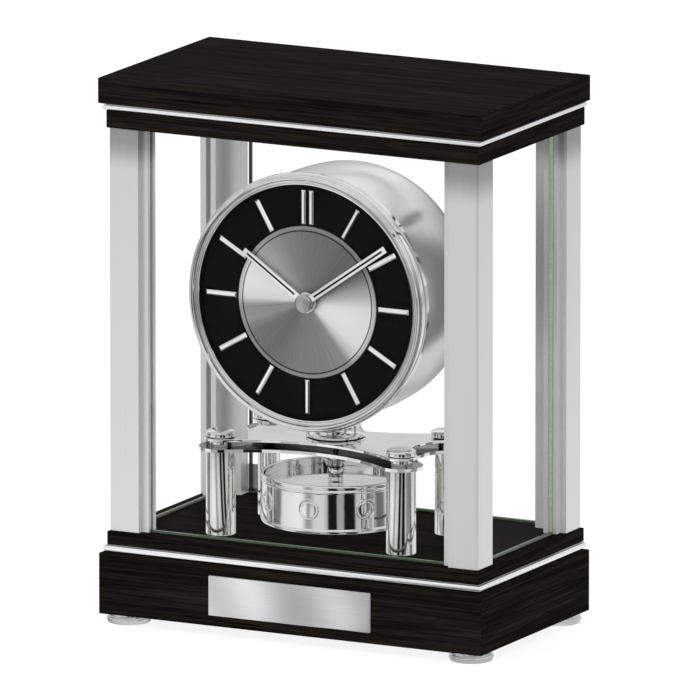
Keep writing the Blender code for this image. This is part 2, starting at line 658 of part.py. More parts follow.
# ---- Pendulum ----
def make_pendulum():
    """The turning drum with its spindle, and the fixed bearing and motor that hold and turn it."""
    axis = pivot("pendulum_axis", (0, STAND_Y, 0))
    spindle_foot = DRUM_BOTTOM + 0.0017
    spindle = [
        (0, SPINDLE_TOP), (SPINDLE_RADIUS, SPINDLE_TOP), (SPINDLE_RADIUS, spindle_foot), (0, spindle_foot),
    ]
    origin = axis.location
    turned("pendulum_spindle", spindle, origin, STEEL, steps=12, parent=axis)

    floor = DRUM_BOTTOM + 0.0014
    ledge = DRUM_PLATE_TOP - 0.0013
    rim = DRUM_RADIUS - 0.0016
    groove = DRUM_RADIUS - 0.0004
    drum_profile = [
        (0, floor), (rim - 0.0014, floor), (rim - 0.0014, ledge), (rim, ledge), (rim, DRUM_TOP - 0.0006),
        (rim + 0.0004, DRUM_TOP), (rim + 0.0011, DRUM_TOP), (DRUM_RADIUS, DRUM_TOP - 0.0005),
        (DRUM_RADIUS, DRUM_TOP - 0.0016), (groove, DRUM_TOP - 0.0019), (groove, DRUM_TOP - 0.0022),
        (DRUM_RADIUS, DRUM_TOP - 0.0025), (DRUM_RADIUS, DRUM_BOTTOM + 0.0006),
        (DRUM_RADIUS - 0.0006, DRUM_BOTTOM), (0, DRUM_BOTTOM),
    ]
    drum = turned("pendulum_drum", drum_profile, origin, CHROME, steps=ROUND_STEPS, parent=axis)
    for index in range(DIMPLE_COUNT):
        turn = FULL_TURN * index / DIMPLE_COUNT + FIRST_DIMPLE
        start_radius = DRUM_RADIUS - DIMPLE_DEPTH
        start = (start_radius * math.cos(turn), STAND_Y + start_radius * math.sin(turn), DIMPLE_HEIGHT)
        facing = Vector((math.cos(turn), math.sin(turn), 0)).to_track_quat("Z", "Y").to_euler()
        length = DIMPLE_DEPTH + DIMPLE_PROUD
        boss = rod_cutter(f"dimple_{index}", DIMPLE_RADIUS, start, length, facing, 12)
        join(drum, boss)

    plate = [
        (rim - GAP, DRUM_PLATE_TOP), (rim - GAP, DRUM_PLATE_TOP - 0.001),
        (SPINDLE_HOLE, DRUM_PLATE_TOP - 0.001), (SPINDLE_HOLE, DRUM_PLATE_TOP),
    ]
    turned("pendulum_top_plate", plate, origin, CHROME, steps=ROUND_STEPS, parent=axis, ring=True)
    hub_bottom = DRUM_PLATE_TOP + GAP
    hub = [
        (HUB_RADIUS, HUB_TOP), (HUB_RADIUS, hub_bottom),
        (SPINDLE_HOLE, hub_bottom), (SPINDLE_HOLE, HUB_TOP),
    ]
    turned("pendulum_hub", hub, origin, CHROME, parent=axis, ring=True)
    bearing_top = LOWER_PLATE[0] - GAP
    bearing = [
        (BEARING_RADIUS, bearing_top), (BEARING_RADIUS, BEARING_BOTTOM),
        (SPINDLE_HOLE, BEARING_BOTTOM), (SPINDLE_HOLE, bearing_top),
    ]
    turned("pendulum_bearing", bearing, origin, CHROME, ring=True)
    motor_bottom, motor_top = MOTOR_Z
    motor = [
        (0, motor_top), (MOTOR_RADIUS, motor_top), (MOTOR_RADIUS, motor_bottom),
        (SPINDLE_HOLE, motor_bottom), (SPINDLE_HOLE, MOTOR_SOCKET_TOP), (0, MOTOR_SOCKET_TOP),
    ]
    turned("pendulum_motor", motor, origin, BLACK_PLASTIC)


# ---- Head ----
HEAD = (0, 0, AXIS_Z)    # with FACING_FRONT, a height in a profile is a distance towards the front


def make_head_case():
    """The round case behind the dial, its back cover and the bezel."""
    outer = [
        (CASE_RADIUS, 0.0280), (CASE_RADIUS, 0.0080), (0.0544, -0.0080), (0.0532, -0.0140),
        (0.0516, -0.0168), (0.0500, -0.0180), (0.0440, -0.0180),
    ]
    inner = [
        (0.0440, -0.0168), (0.0498, -0.0168), (0.0518, -0.0134), (0.0532, -0.0080),
        (CASE_RADIUS - CASE_WALL, 0.0080), (CASE_RADIUS - CASE_WALL, 0.0265),
        (0.0505, 0.0265), (0.0505, 0.0325), (0.0529, 0.0325), (0.0529, 0.0280),
    ]
    case = turned("head_case", outer + inner, HEAD, CHROME, FACING_FRONT, ROUND_STEPS, ring=True)
    cut(case, rod_cutter("spindle_way", 0.0020, (0, STAND_Y, 0.088), 0.010))

    cover = [
        (0.0437, -0.0168), (0.0437, -0.0183), (0.0475, -0.0183), (0.0475, -0.0192),
        (0.0360, -0.0192), (0.0360, -0.0168),
    ]
    turned("head_back_cover", cover, HEAD, BLACK_PLASTIC, FACING_FRONT, ROUND_STEPS, ring=True)

    bezel = [
        (0.0516, 0.0359), (0.0521, 0.0363), (0.0531, 0.0363), (0.0536, 0.0380), (0.0545, 0.0385),
        (0.0552, 0.0380), (0.0555, 0.0372), (0.0564, 0.0362), (0.0567, 0.0340), (0.0564, 0.0318),
        (0.0557, 0.0308), (0.0557, 0.0283), (0.0533, 0.0283), (0.0533, 0.0341), (0.0516, 0.0341),
    ]
    turned("bezel", bezel, HEAD, CHROME, FACING_FRONT, ROUND_STEPS, ring=True)


def marker_bars():
    """Thirteen bars round the dial: two at twelve, and one at each other hour."""
    mesh = bpy.data.meshes.new("marker_bars")
    form = bmesh.new()
    places = [(0, -MARKER_PAIR_OFFSET), (0, MARKER_PAIR_OFFSET)]
    places += [(FULL_TURN * hour / 12, 0) for hour in range(1, 12)]
    length = MARKER_END - MARKER_START
    for turn, shift in places:
        bar = bmesh.ops.create_cube(form, size=1.0)["verts"]
        bmesh.ops.scale(form, vec=(MARKER_WIDTH, length, MARKER_DEPTH), verts=bar)
        middle = (shift, MARKER_START + length / 2, -MARKER_FRONT - MARKER_DEPTH / 2)
        bmesh.ops.translate(form, vec=middle, verts=bar)
        bmesh.ops.rotate(form, cent=(0, 0, 0), matrix=Matrix.Rotation(-turn, 3, "Z"), verts=bar)
    form.to_mesh(mesh)
    form.free()
    return add_cutter("marker_bars", mesh, HEAD, FACING_FRONT)


def make_dial():
    """The black dial with its bars, the spun disc over its middle, and the nut that clamps them."""
    front = -DIAL_FRONT
    back = front - DIAL_THICKNESS
    dial = [(DIAL_RADIUS, front), (DIAL_RADIUS, back), (DIAL_HOLE, back), (DIAL_HOLE, front)]
    plate = turned("dial_plate", dial, HEAD, DIAL_BLACK, FACING_FRONT, ROUND_STEPS, ring=True)
    join(plate, marker_bars())
    disc_back = front + GAP
    disc_front = disc_back + DISC_THICKNESS
    disc = [
        (CENTRE_DISC_RADIUS - 0.0002, disc_front), (CENTRE_DISC_RADIUS, disc_front - 0.0002),
        (CENTRE_DISC_RADIUS, disc_back), (DIAL_HOLE, disc_back), (DIAL_HOLE, disc_front),
    ]
    turned("dial_centre", disc, HEAD, SPUN_SILVER, FACING_FRONT, ROUND_STEPS, ring=True)
    nut_back = disc_front + GAP
    nut = [
        (0.0042, nut_back + 0.0010), (0.0047, nut_back + 0.0006), (0.0047, nut_back),
        (0.0036, nut_back), (0.0036, nut_back + 0.0010),
    ]
    turned("dial_nut", nut, HEAD, CHROME, FACING_FRONT, ring=True)


# ---- Hands and motion work ----
def hand_outline(length, hub_radius):
    """A square-ended blade along local Y on a round hub."""
    half = HAND_WIDTH / 2
    start = math.pi / 2 + math.asin(half / hub_radius)
    end = FULL_TURN + math.pi / 2 - math.asin(half / hub_radius)
    hub = arc_points(Vector((0, 0)), hub_radius, start, end, 20)
    return hub + [(half, length), (-half, length)]


def gear_outline(teeth, phase):
    """Tapered teeth with backlash, for gears whose axes stand TRAIN_DISTANCE apart."""
    partner = {CANNON_TEETH: MINUTE_WHEEL_TEETH, MINUTE_WHEEL_TEETH: CANNON_TEETH,
               MINUTE_PINION_TEETH: HOUR_WHEEL_TEETH, HOUR_WHEEL_TEETH: MINUTE_PINION_TEETH}
    module = 2 * TRAIN_DISTANCE / (teeth + partner[teeth])
    pitch_radius = teeth * module / 2
    pitch = math.pi * module
    root = (pitch_radius - 1.15 * module, 0.25 * pitch)
    tip = (pitch_radius + 0.85 * module, 0.11 * pitch)
    sides = [(root, -1), (tip, -1), (tip, 1), (root, 1)]
    points = []
    for tooth in range(teeth):
        centre = phase + FULL_TURN * tooth / teeth
        for (radius, half_width), side in sides:
            angle = centre + side * half_width / pitch_radius
            points.append((radius * math.cos(angle), radius * math.sin(angle)))
    return points


def gear_mesh(name, teeth, layer, phase=0.0):
    """A gear with no bore, between two Y positions, for an object that is turned to the front."""
    back_y, front_y = layer[1], layer[0]
    mesh = flat_mesh(name, gear_outline(teeth, phase), back_y - front_y)
    mesh.transform(Matrix.Translation((0, 0, -back_y)))
    return mesh


def make_hand_works():
    """The minute arbor and its hand and cap, and the hour wheel with its hand."""
    minute_axis = pivot("minute_axis", HEAD)
    hour_axis = pivot("hour_axis", HEAD)
    for name, parent, turn, length, layer, bore in (
        ("minute_hand", minute_axis, MINUTE_ANGLE, MINUTE_LENGTH, MINUTE_HAND_Y, MINUTE_BORE),
        ("hour_hand", hour_axis, HOUR_ANGLE, HOUR_LENGTH, HOUR_HAND_Y, HOUR_BORE),
    ):
        hole = [circle_points(bore, SMALL_STEPS)]
        mesh = flat_mesh(name, hand_outline(length, HAND_HUB_RADIUS), layer[1] - layer[0], hole)
        mesh.transform(Matrix.Rotation(-turn, 4, "Z") @ Matrix.Translation((0, 0, -layer[1])))
        add_piece(name, mesh, HAND_METAL, parent, rotation=FACING_FRONT)

    pinion = gear_mesh("minute_arbor", CANNON_TEETH, TRAIN_LAYER)
    arbor = add_piece("minute_arbor", pinion, STEEL, minute_axis, rotation=FACING_FRONT)
    arbor_start = (0, -0.0240, AXIS_Z)
    join(arbor, rod_cutter("arbor_rod", ARBOR_RADIUS, arbor_start, 0.0140, FACING_FRONT))
    cap = [
        (0, 0.0394), (0.0020, 0.0393), (0.0033, 0.0389), (0.0040, 0.0384), (0.0040, 0.0383), (0, 0.0383),
    ]
    turned("centre_cap", cap, HEAD, HAND_METAL, FACING_FRONT, parent=minute_axis)

    wheel_mesh = gear_mesh("hour_wheel", HOUR_WHEEL_TEETH, HOUR_LAYER)
    wheel = add_piece("hour_wheel", wheel_mesh, WHITE_PLASTIC, hour_axis, rotation=FACING_FRONT)
    pipe_start = (0, HOUR_LAYER[1] - 0.0002, AXIS_Z)
    pipe_length = pipe_start[1] - HOUR_HAND_Y[0]
    join(wheel, rod_cutter("hour_pipe", PIPE_RADIUS, pipe_start, pipe_length, FACING_FRONT))
    cut(wheel, rod_cutter("hour_bore", MINUTE_BORE, (0, -0.020, AXIS_Z), 0.020, FACING_FRONT))


def make_minute_wheel():
    """The wheel that drops the minute arbor's turn to the hour wheel, with its own pinion."""
    height = AXIS_Z + TRAIN_DISTANCE
    axis = pivot("minute_wheel_axis", (0, 0, height))
    half_tooth = math.pi / MINUTE_WHEEL_TEETH
    mesh = gear_mesh("minute_wheel", MINUTE_WHEEL_TEETH, TRAIN_LAYER, half_tooth)
    wheel = add_piece("minute_wheel", mesh, WHITE_PLASTIC, axis, rotation=FACING_FRONT)
    pinion_layer = (HOUR_LAYER[0], TRAIN_LAYER[0] + 0.0002)
    pinion = gear_mesh("minute_pinion", MINUTE_PINION_TEETH, pinion_layer)
    join(wheel, add_cutter("minute_pinion", pinion, (0, 0, height), FACING_FRONT))
    cut(wheel, rod_cutter("minute_wheel_bore", 0.0011, (0, -0.026, height), 0.006, FACING_FRONT))


def make_setting_knob():
    """The fluted knob at the back, with the pinion that turns the minute wheel."""
    height = AXIS_Z + TRAIN_DISTANCE
    place = (TRAIN_DISTANCE, 0, height)
    axis = pivot("setting_axis", place)
    outline = []
    for x, y in circle_points(1.0, KNOB_FLUTES * 2):
        turn = math.atan2(y, x)
        radius = KNOB_RADIUS - KNOB_FLUTE_DEPTH * max(0.0, math.cos(KNOB_FLUTES * turn))
        outline.append((radius * x, radius * y))
    mesh = flat_mesh("setting_knob", outline, 0.0035)
    mesh.transform(Matrix.Translation((0, 0, 0.0105)))
    knob = add_piece("setting_knob", mesh, BLACK_PLASTIC, axis, rotation=FACING_FRONT)
    arbor_start = (TRAIN_DISTANCE, -0.0130, height)
    arbor = rod_cutter("setting_arbor", SETTING_ARBOR_RADIUS, arbor_start, 0.0165, FACING_FRONT)
    pinion = gear_mesh("setting_pinion", CANNON_TEETH, TRAIN_LAYER)
    join(knob, arbor, add_cutter("setting_pinion", pinion, place, FACING_FRONT))


def make_movement():
    """The movement's front plate, rear case and sealed quartz module, and its cell."""
    half = MOVEMENT_HALF
    low = (-half, MOVEMENT_FRONT, AXIS_Z - half)
    high = (half, MOVEMENT_JOINT[0], AXIS_Z + half)
    plate = board("movement_front_plate", low, high, BLACK_PLASTIC, 0)
    pipe = rod_cutter("fixed_pipe", FIXED_PIPE_RADIUS, (0, -0.0315, AXIS_Z), 0.0044, FACING_FRONT)
    post_z = AXIS_Z + TRAIN_DISTANCE
    post_start = (0, -0.0277, post_z)
    post = rod_cutter("wheel_post", WHEEL_POST_RADIUS, post_start, 0.0040, FACING_FRONT, 12)
    join(plate, pipe, post)
    cut(plate, rod_cutter("pipe_bore", HOUR_BORE, (0, -0.0300, AXIS_Z), 0.0080, FACING_FRONT))

    wall = MOVEMENT_WALL
    pocket_top = CELL_POCKET_TOP
    case_low = (-half, MOVEMENT_JOINT[1], AXIS_Z - half)
    case = board("movement_case", case_low, (half, MOVEMENT_REAR, AXIS_Z + half), BLACK_PLASTIC, 0)
    train_low = (-half + wall, -0.0320, pocket_top + 0.0014)
    train_high = (half - wall, MOVEMENT_REAR - wall, AXIS_Z + half - wall)
    pocket_low = (-half + 0.0014, -0.0298, AXIS_Z - half + wall)
    pocket_high = (half - 0.0014, MOVEMENT_REAR + 0.002, pocket_top)
    cut(case, box_cutter("train_space", train_low, train_high))
    cut(case, box_cutter("cell_pocket", pocket_low, pocket_high))
    way_start = (TRAIN_DISTANCE, -0.0130, post_z)
    cut(case, rod_cutter("setting_way", SETTING_WAY, way_start, 0.004, FACING_FRONT))

    inset = wall + 0.0004
    module_low = (-half + inset, MODULE_Y[0], pocket_top + 0.0018)
    module_high = (half - inset, MODULE_Y[1], AXIS_Z + half - inset)
    module = board("quartz_module", module_low, module_high, WHITE_PLASTIC, 0.0006)
    for name, x, z in (("arbor_way", 0, AXIS_Z), ("setting_arbor_way", TRAIN_DISTANCE, post_z)):
        cut(module, rod_cutter(name, SETTING_WAY, (x, -0.0155, z), 0.0125, FACING_FRONT))

    half_cell = CELL_LENGTH / 2
    cell_y, cell_z = CELL_CENTRE
    cell = [
        (0, half_cell), (0.0027, half_cell), (0.0027, half_cell - 0.001),
        (CELL_RADIUS - 0.0005, half_cell - 0.001), (CELL_RADIUS, half_cell - 0.0015),
        (CELL_RADIUS, 0.0004 - half_cell), (CELL_RADIUS - 0.0004, -half_cell), (0, -half_cell),
    ]
    turned("battery", cell, (0, cell_y, cell_z), CELL_WRAP, ALONG_X)


make_boards()
make_feet()
make_posts()
make_fixed_glass()
make_name_plate()
make_door()
make_plates()
make_pillars()
make_pedestal()
make_pendulum()
make_head_case()
make_dial()
make_hand_works()
make_minute_wheel()
make_setting_knob()
make_movement()
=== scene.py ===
"""Looks of the mantel clock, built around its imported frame.

The clock has dark wood boards, satin aluminium posts, clear panes, a polished head on two plates and
four pillars, and a turning drum below. Turned metalwork is made again here with fine edges and beads,
and every finish is made from nodes. Profiles are in millimetres, and everything else is in metres.
"""

import math

import bmesh
import bpy
from mathutils import Matrix, Vector


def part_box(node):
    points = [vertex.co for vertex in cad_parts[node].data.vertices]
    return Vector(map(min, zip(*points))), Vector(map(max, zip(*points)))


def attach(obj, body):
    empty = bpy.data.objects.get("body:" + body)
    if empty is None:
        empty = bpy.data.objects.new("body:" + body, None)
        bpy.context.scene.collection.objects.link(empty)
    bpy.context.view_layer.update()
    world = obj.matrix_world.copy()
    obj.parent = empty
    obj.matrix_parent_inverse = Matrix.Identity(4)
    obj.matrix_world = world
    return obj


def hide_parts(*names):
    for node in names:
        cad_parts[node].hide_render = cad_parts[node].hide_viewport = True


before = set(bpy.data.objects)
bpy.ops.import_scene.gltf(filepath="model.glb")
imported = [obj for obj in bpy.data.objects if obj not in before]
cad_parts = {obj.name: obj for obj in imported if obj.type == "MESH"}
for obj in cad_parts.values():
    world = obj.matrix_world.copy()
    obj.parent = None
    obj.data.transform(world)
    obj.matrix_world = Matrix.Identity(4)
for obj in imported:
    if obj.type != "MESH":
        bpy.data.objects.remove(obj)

MM = 0.001
FULL_TURN = 2 * math.pi
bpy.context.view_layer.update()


def middle(node):
    low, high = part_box(node)
    return (low + high) / 2


# ---- Places ----
HEAD = middle("bezel")
HEAD_AXIS = Vector((0, 0, HEAD.z))
DRUM_AXIS = Vector((0, middle("pendulum_hub").y, 0))
DRUM_WALL = 32.15                # the radius of the drum's wall, between its beads
DIAL_FRONT = 33.8                # the dial's face, in front of the head's middle
CASE_RADIUS = 55.0
MINUTE_ANGLE = math.radians(55.0)    # the hands stand at nine minutes past ten
HOUR_ANGLE = math.radians(304.6)

# ---- Segment counts ----
LARGE_STEPS = 256
MIDDLE_STEPS = 96
SMALL_STEPS = 48

UP = Matrix.Identity(4)
TO_FRONT = Matrix.Rotation(math.pi / 2, 4, "X")    # local Z points to the front and local Y points up
ALONG_X = Matrix.Rotation(math.pi / 2, 4, "Y")


# ---- Node helpers ----
def grey(tone):
    return (tone, tone, tone)


class Finish:
    """A node tree with short ways to add and join its nodes."""

    def __init__(self, tree):
        self.tree = tree

    def node(self, kind, **settings):
        """A new node. Settings that start with in_ go to its inputs, and the others to the node itself."""
        made = self.tree.nodes.new(kind)
        for name, value in settings.items():
            if name.startswith("in_"):
                self.put(made.inputs[name[3:].replace("_", " ")], value)
            else:
                setattr(made, name, value)
        return made

    def join(self, start, end):
        self.tree.links.new(start, end)

    def put(self, socket, value):
        """Sets a number or a colour on a socket, or joins another socket to it."""
        if isinstance(value, (int, float)):
            socket.default_value = value
        elif isinstance(value, tuple):
            socket.default_value = (*value, 1.0)
        else:
            self.join(value, socket)

    def place(self, space="Object"):
        """Where each point of the surface lies, or which way it faces for Normal."""
        return self.node("ShaderNodeTexCoord").outputs[space]

    def parts(self, vector):
        """A vector's X, Y and Z."""
        return self.node("ShaderNodeSeparateXYZ", in_Vector=vector).outputs

    def maths(self, operation, first, second=None, clamp=False):
        made = self.node("ShaderNodeMath", operation=operation, use_clamp=clamp)
        self.put(made.inputs[0], first)
        if second is not None:
            self.put(made.inputs[1], second)
        return made.outputs[0]

    def vector_maths(self, operation, first, second=None):
        made = self.node("ShaderNodeVectorMath", operation=operation)
        self.join(first, made.inputs[0])
        if second is not None:
            self.join(second, made.inputs[1])
        return made.outputs["Value" if operation == "LENGTH" else "Vector"]

    def noise(self, vector, **settings):
        """A cloudy pattern from 0 to 1."""
        return self.node("ShaderNodeTexNoise", in_Vector=vector, **settings).outputs["Fac"]

    def ramp(self, value, stops, interpolation="LINEAR"):
        """A colour ramp. Each stop is a place from 0 to 1 and a grey level or a colour."""
        made = self.node("ShaderNodeValToRGB", in_Fac=value)
        made.color_ramp.interpolation = interpolation
        elements = made.color_ramp.elements
        while len(elements) < len(stops):
            elements.new(0.5)
        for element, (place, tone) in zip(elements, stops):
            element.position = place
            colour = grey(tone) if isinstance(tone, (int, float)) else tone
            element.color = (*colour, 1.0)
        return made.outputs["Color"]

    def blend(self, factor, first, second, mode="MIX"):
        """A colour mix; each side is a colour or a socket."""
        made = self.node("ShaderNodeMix", data_type="RGBA", blend_type=mode)
        self.put(made.inputs["Factor"], factor)
        self.put(made.inputs[6], first)
        self.put(made.inputs[7], second)
        return made.outputs[2]

    def span(self, value, low, high, start=0.0, end=1.0, kind="LINEAR"):
        """Maps start..end to low..high."""
        made = self.node(
            "ShaderNodeMapRange", interpolation_type=kind, in_Value=value, in_From_Min=start,
            in_From_Max=end, in_To_Min=low, in_To_Max=high,
        )
        return made.outputs["Result"]


def new_group(name, inputs, outputs):
    """An empty shader group. Inputs and outputs are (name, kind, default)."""
    tree = bpy.data.node_groups.new(name, "ShaderNodeTree")
    for label, kind, default in inputs:
        socket = tree.interface.new_socket(label, in_out="INPUT", socket_type="NodeSocket" + kind)
        if default is not None:
            socket.default_value = default
    for label, kind in outputs:
        tree.interface.new_socket(label, in_out="OUTPUT", socket_type="NodeSocket" + kind)
    made = Finish(tree)
    given = made.node("NodeGroupInput").outputs
    result = made.node("NodeGroupOutput").inputs
    return made, given, result


def streak_group():
    """Long fine lines along one axis, as in wood grain and in brushed metal."""
    made, given, result = new_group(
        "streaks",
        [
            ("Place", "Vector", None), ("Stretch", "Vector", (1, 1, 1)), ("Scale", "Float", 1.0),
            ("Detail", "Float", 6.0), ("Warp", "Float", 0.2),
        ],
        [("Streak", "Float"), ("Fleck", "Float")],
    )
    stretched = made.vector_maths("MULTIPLY", given["Place"], given["Stretch"])
    streak = made.noise(
        stretched, in_Scale=given["Scale"], in_Detail=given["Detail"], in_Distortion=given["Warp"],
        in_Roughness=0.62,
    )
    finer = made.maths("MULTIPLY", given["Scale"], 3.7)
    fleck = made.noise(stretched, in_Scale=finer, in_Detail=2.0, in_Roughness=0.5)
    made.join(streak, result["Streak"])
    made.join(fleck, result["Fleck"])
    return made.tree


def grain_group():
    """A board's lengthways, across and thickness directions. On its end faces the grain turns with them."""
    made, _, result = new_group("grain_place", [], [("Place", "Vector")])
    place = made.place()
    parts = made.parts(place)
    facing = made.parts(made.place("Normal"))
    sideways = made.maths("GREATER_THAN", made.maths("ABSOLUTE", facing["X"]), 0.7)
    turned_place = made.node("ShaderNodeCombineXYZ", in_X=parts["Y"], in_Y=parts["X"], in_Z=parts["Z"])
    choice = made.node("ShaderNodeMix", data_type="VECTOR", in_Factor=sideways)
    made.join(place, choice.inputs[4])
    made.join(turned_place.outputs[0], choice.inputs[5])
    made.join(choice.outputs[1], result["Place"])
    return made.tree


def handling_group():
    """Faint cloudy smudges and fine specks left by handling and dust."""
    made, given, result = new_group(
        "handling",
        [("Smudge Size", "Float", 60.0), ("Speck Size", "Float", 2500.0), ("Amount", "Float", 1.0)],
        [("Smudge", "Float"), ("Speck", "Float")],
    )
    place = made.place()
    cloud = made.noise(place, in_Scale=given["Smudge Size"], in_Detail=4.0, in_Roughness=0.55)
    grit = made.node("ShaderNodeTexVoronoi", in_Vector=place, in_Scale=given["Speck Size"])
    smudge = made.span(cloud, 0.0, 1.0, 0.42, 0.75, "SMOOTHSTEP")
    speck = made.span(grit.outputs["Distance"], 1.0, 0.0, 0.02, 0.10)
    made.join(made.maths("MULTIPLY", smudge, given["Amount"]), result["Smudge"])
    made.join(made.maths("MULTIPLY", speck, given["Amount"]), result["Speck"])
    return made.tree


# Degrees round the clock (0 is its front, positive to its right) and how bright the studio is there
STUDIO_TONES = [
    (-180, 0.50), (-150, 0.58), (-112, 0.95), (-82, 0.80), (-76, 0.22), (-64, 0.22), (-58, 0.85),
    (-30, 1.00), (-23, 0.95), (-16, 0.40), (-11, 0.40), (-4, 0.76), (8, 0.76), (14, 0.50), (16, 0.01),
    (27, 0.01), (29, 0.42), (37, 0.42), (39, 0.01), (53, 0.01), (56, 0.60), (78, 0.74), (90, 0.16),
    (100, 0.20), (106, 0.82), (138, 0.90), (158, 0.86), (180, 0.50),
]


def studio_group():
    """How bright the studio looks in each direction round the clock, with two dark flags in front of it."""
    made, given, result = new_group("studio_tone", [("Direction", "Vector", None)], [("Tone", "Float")])
    parts = made.parts(given["Direction"])
    backwards = made.maths("MULTIPLY", parts["Y"], -1.0)
    turn = made.maths("ARCTAN2", parts["X"], backwards)
    place = made.maths("ADD", made.maths("DIVIDE", turn, FULL_TURN), 0.5)
    stops = [(degrees / 360 + 0.5, tone) for degrees, tone in STUDIO_TONES]
    made.join(made.ramp(place, stops), result["Tone"])
    return made.tree


STREAKS = streak_group()
GRAIN = grain_group()
HANDLING = handling_group()
STUDIO = studio_group()


def new_finish(name, **settings):
    """A material and its Principled shader, with what is the same all over it set on the shader."""
    material = bpy.data.materials.new(name)
    material.use_nodes = True
    shader = material.node_tree.nodes["Principled BSDF"]
    for label, value in settings.items():
        shader.inputs[label.replace("_", " ")].default_value = value
    return material, Finish(material.node_tree), shader


def add_streaks(made, stretch, scale=1.0, detail=8.0, warp=0.0, place=None):
    """Streaks in the object's own directions, or at a place that is given."""
    if place is None:
        place = made.place()
    group = made.node(
        "ShaderNodeGroup", node_tree=STREAKS, in_Place=place, in_Scale=scale, in_Detail=detail,
        in_Warp=warp,
    )
    group.inputs["Stretch"].default_value = stretch
    return group.outputs


def add_handling(made, smudge, speck, amount=1.0):
    """Smudges and specks of those sizes."""
    group = made.node(
        "ShaderNodeGroup", node_tree=HANDLING, in_Smudge_Size=smudge, in_Speck_Size=speck,
        in_Amount=amount,
    )
    return group.outputs


def add_coat(made, shader, colour, roughness):
    made.join(colour, shader.inputs["Base Color"])
    made.join(roughness, shader.inputs["Roughness"])


def add_bump(made, shader, height, strength, distance):
    bump = made.node("ShaderNodeBump", in_Strength=strength, in_Distance=distance, in_Height=height)
    made.join(bump.outputs["Normal"], shader.inputs["Normal"])


# ---- Finishes ----
def dark_wood():
    """Very dark straight-grained wood under a thin dull lacquer, with its grain along the boards."""
    material, made, shader = new_finish("dark_figured_wood", Specular_IOR_Level=0.0012)
    place = made.node("ShaderNodeGroup", node_tree=GRAIN).outputs["Place"]
    grain = add_streaks(made, (5.0, 130.0, 260.0), 2.4, 6.0, 0.7, place)
    pores = add_streaks(made, (14.0, 700.0, 1100.0), 2.0, 3.0, 0.1, place)
    wide = add_streaks(made, (1.6, 26.0, 60.0), 1.6, 3.0, 0.6, place)
    tone = made.ramp(grain["Streak"], [
        (0.36, (0.0064, 0.0060, 0.0054)), (0.47, (0.0105, 0.0096, 0.0083)),
        (0.53, (0.0145, 0.0128, 0.0106)), (0.58, (0.0240, 0.0202, 0.0158)),
        (0.63, (0.0135, 0.0120, 0.0100)), (0.72, (0.0190, 0.0164, 0.0132)),
    ])
    shade = made.ramp(wide["Streak"], [(0.38, 0.68), (0.62, 1.0)])
    veneer = made.blend(0.85, tone, shade, "MULTIPLY")
    open_pores = made.ramp(pores["Streak"], [(0.38, 1.0), (0.45, 0.0)])
    coloured = made.blend(open_pores, veneer, (0.0035, 0.0030, 0.0025))
    add_coat(made, shader, coloured, made.span(grain["Fleck"], 0.38, 0.55))
    add_bump(made, shader, pores["Streak"], 0.2, 0.00006)
    return material


POST_SHADE = (0.200, 0.216)      # the heights between which the posts run into the shade of the top


def post_metal():
    """Drawn satin aluminium with fine upright lines, darker in the shade of the top."""
    material, made, shader = new_finish("drawn_satin_aluminium", Metallic=0.6)
    lines = add_streaks(made, (900.0, 900.0, 3.0))
    marks = add_handling(made, 35.0, 1800.0, 0.6)
    height = made.parts(made.place())["Z"]
    uneven = made.maths("ADD", height, made.maths("MULTIPLY", lines["Fleck"], 0.004))
    shade = made.span(uneven, 0.0, 1.0, *POST_SHADE, "SMOOTHSTEP")
    lined = made.blend(lines["Streak"], grey(0.74), grey(0.79))
    smudged = made.blend(made.span(marks["Smudge"], 0.0, 0.15), lined, grey(0.66))
    shaded = made.blend(made.maths("MULTIPLY", shade, 0.72), smudged, grey(0.20))
    add_coat(made, shader, shaded, made.span(lines["Fleck"], 0.34, 0.42))
    add_bump(made, shader, lines["Streak"], 0.05, 0.00003)
    return material


def satin_metal(name, stretch, colour, low, high, contrast=0.12):
    """Metal with fine parallel lines, such as a pressed clip or a turned pin."""
    material, made, shader = new_finish(name, Metallic=1.0)
    lines = add_streaks(made, stretch)
    marks = add_handling(made, 35.0, 1800.0, 0.6)
    darker = tuple(value * (1.0 - contrast) for value in colour)
    lined = made.blend(lines["Streak"], darker, colour)
    smudged = made.blend(made.span(marks["Smudge"], 0.0, 0.15), lined, darker)
    add_coat(made, shader, smudged, made.span(lines["Fleck"], low, high))
    add_bump(made, shader, lines["Streak"], 0.12, 0.00003)
    return material


def polished_metal(name, colour, roughness, ripple=0.06):
    """Bright plated metal with faint smudges and the slight ripple of hand polishing."""
    material, made, shader = new_finish(name, Metallic=1.0)
    marks = add_handling(made, 45.0, 2200.0)
    waves = made.noise(made.place(), in_Scale=150.0, in_Detail=2.0)
    darkened = tuple(value * 0.78 for value in colour)
    smudged = made.blend(marks["Smudge"], colour, darkened)
    add_coat(made, shader, smudged, made.span(marks["Smudge"], roughness, roughness + 0.05))
    add_bump(made, shader, waves, ripple, 0.0002)
    return material


BAND_SLANT = 0.55                # how far a band of light leans along the plate as it rises
BAND_TURNS = 157.0               # radians of its wave for each metre along the plate
BAND_START = 2.56


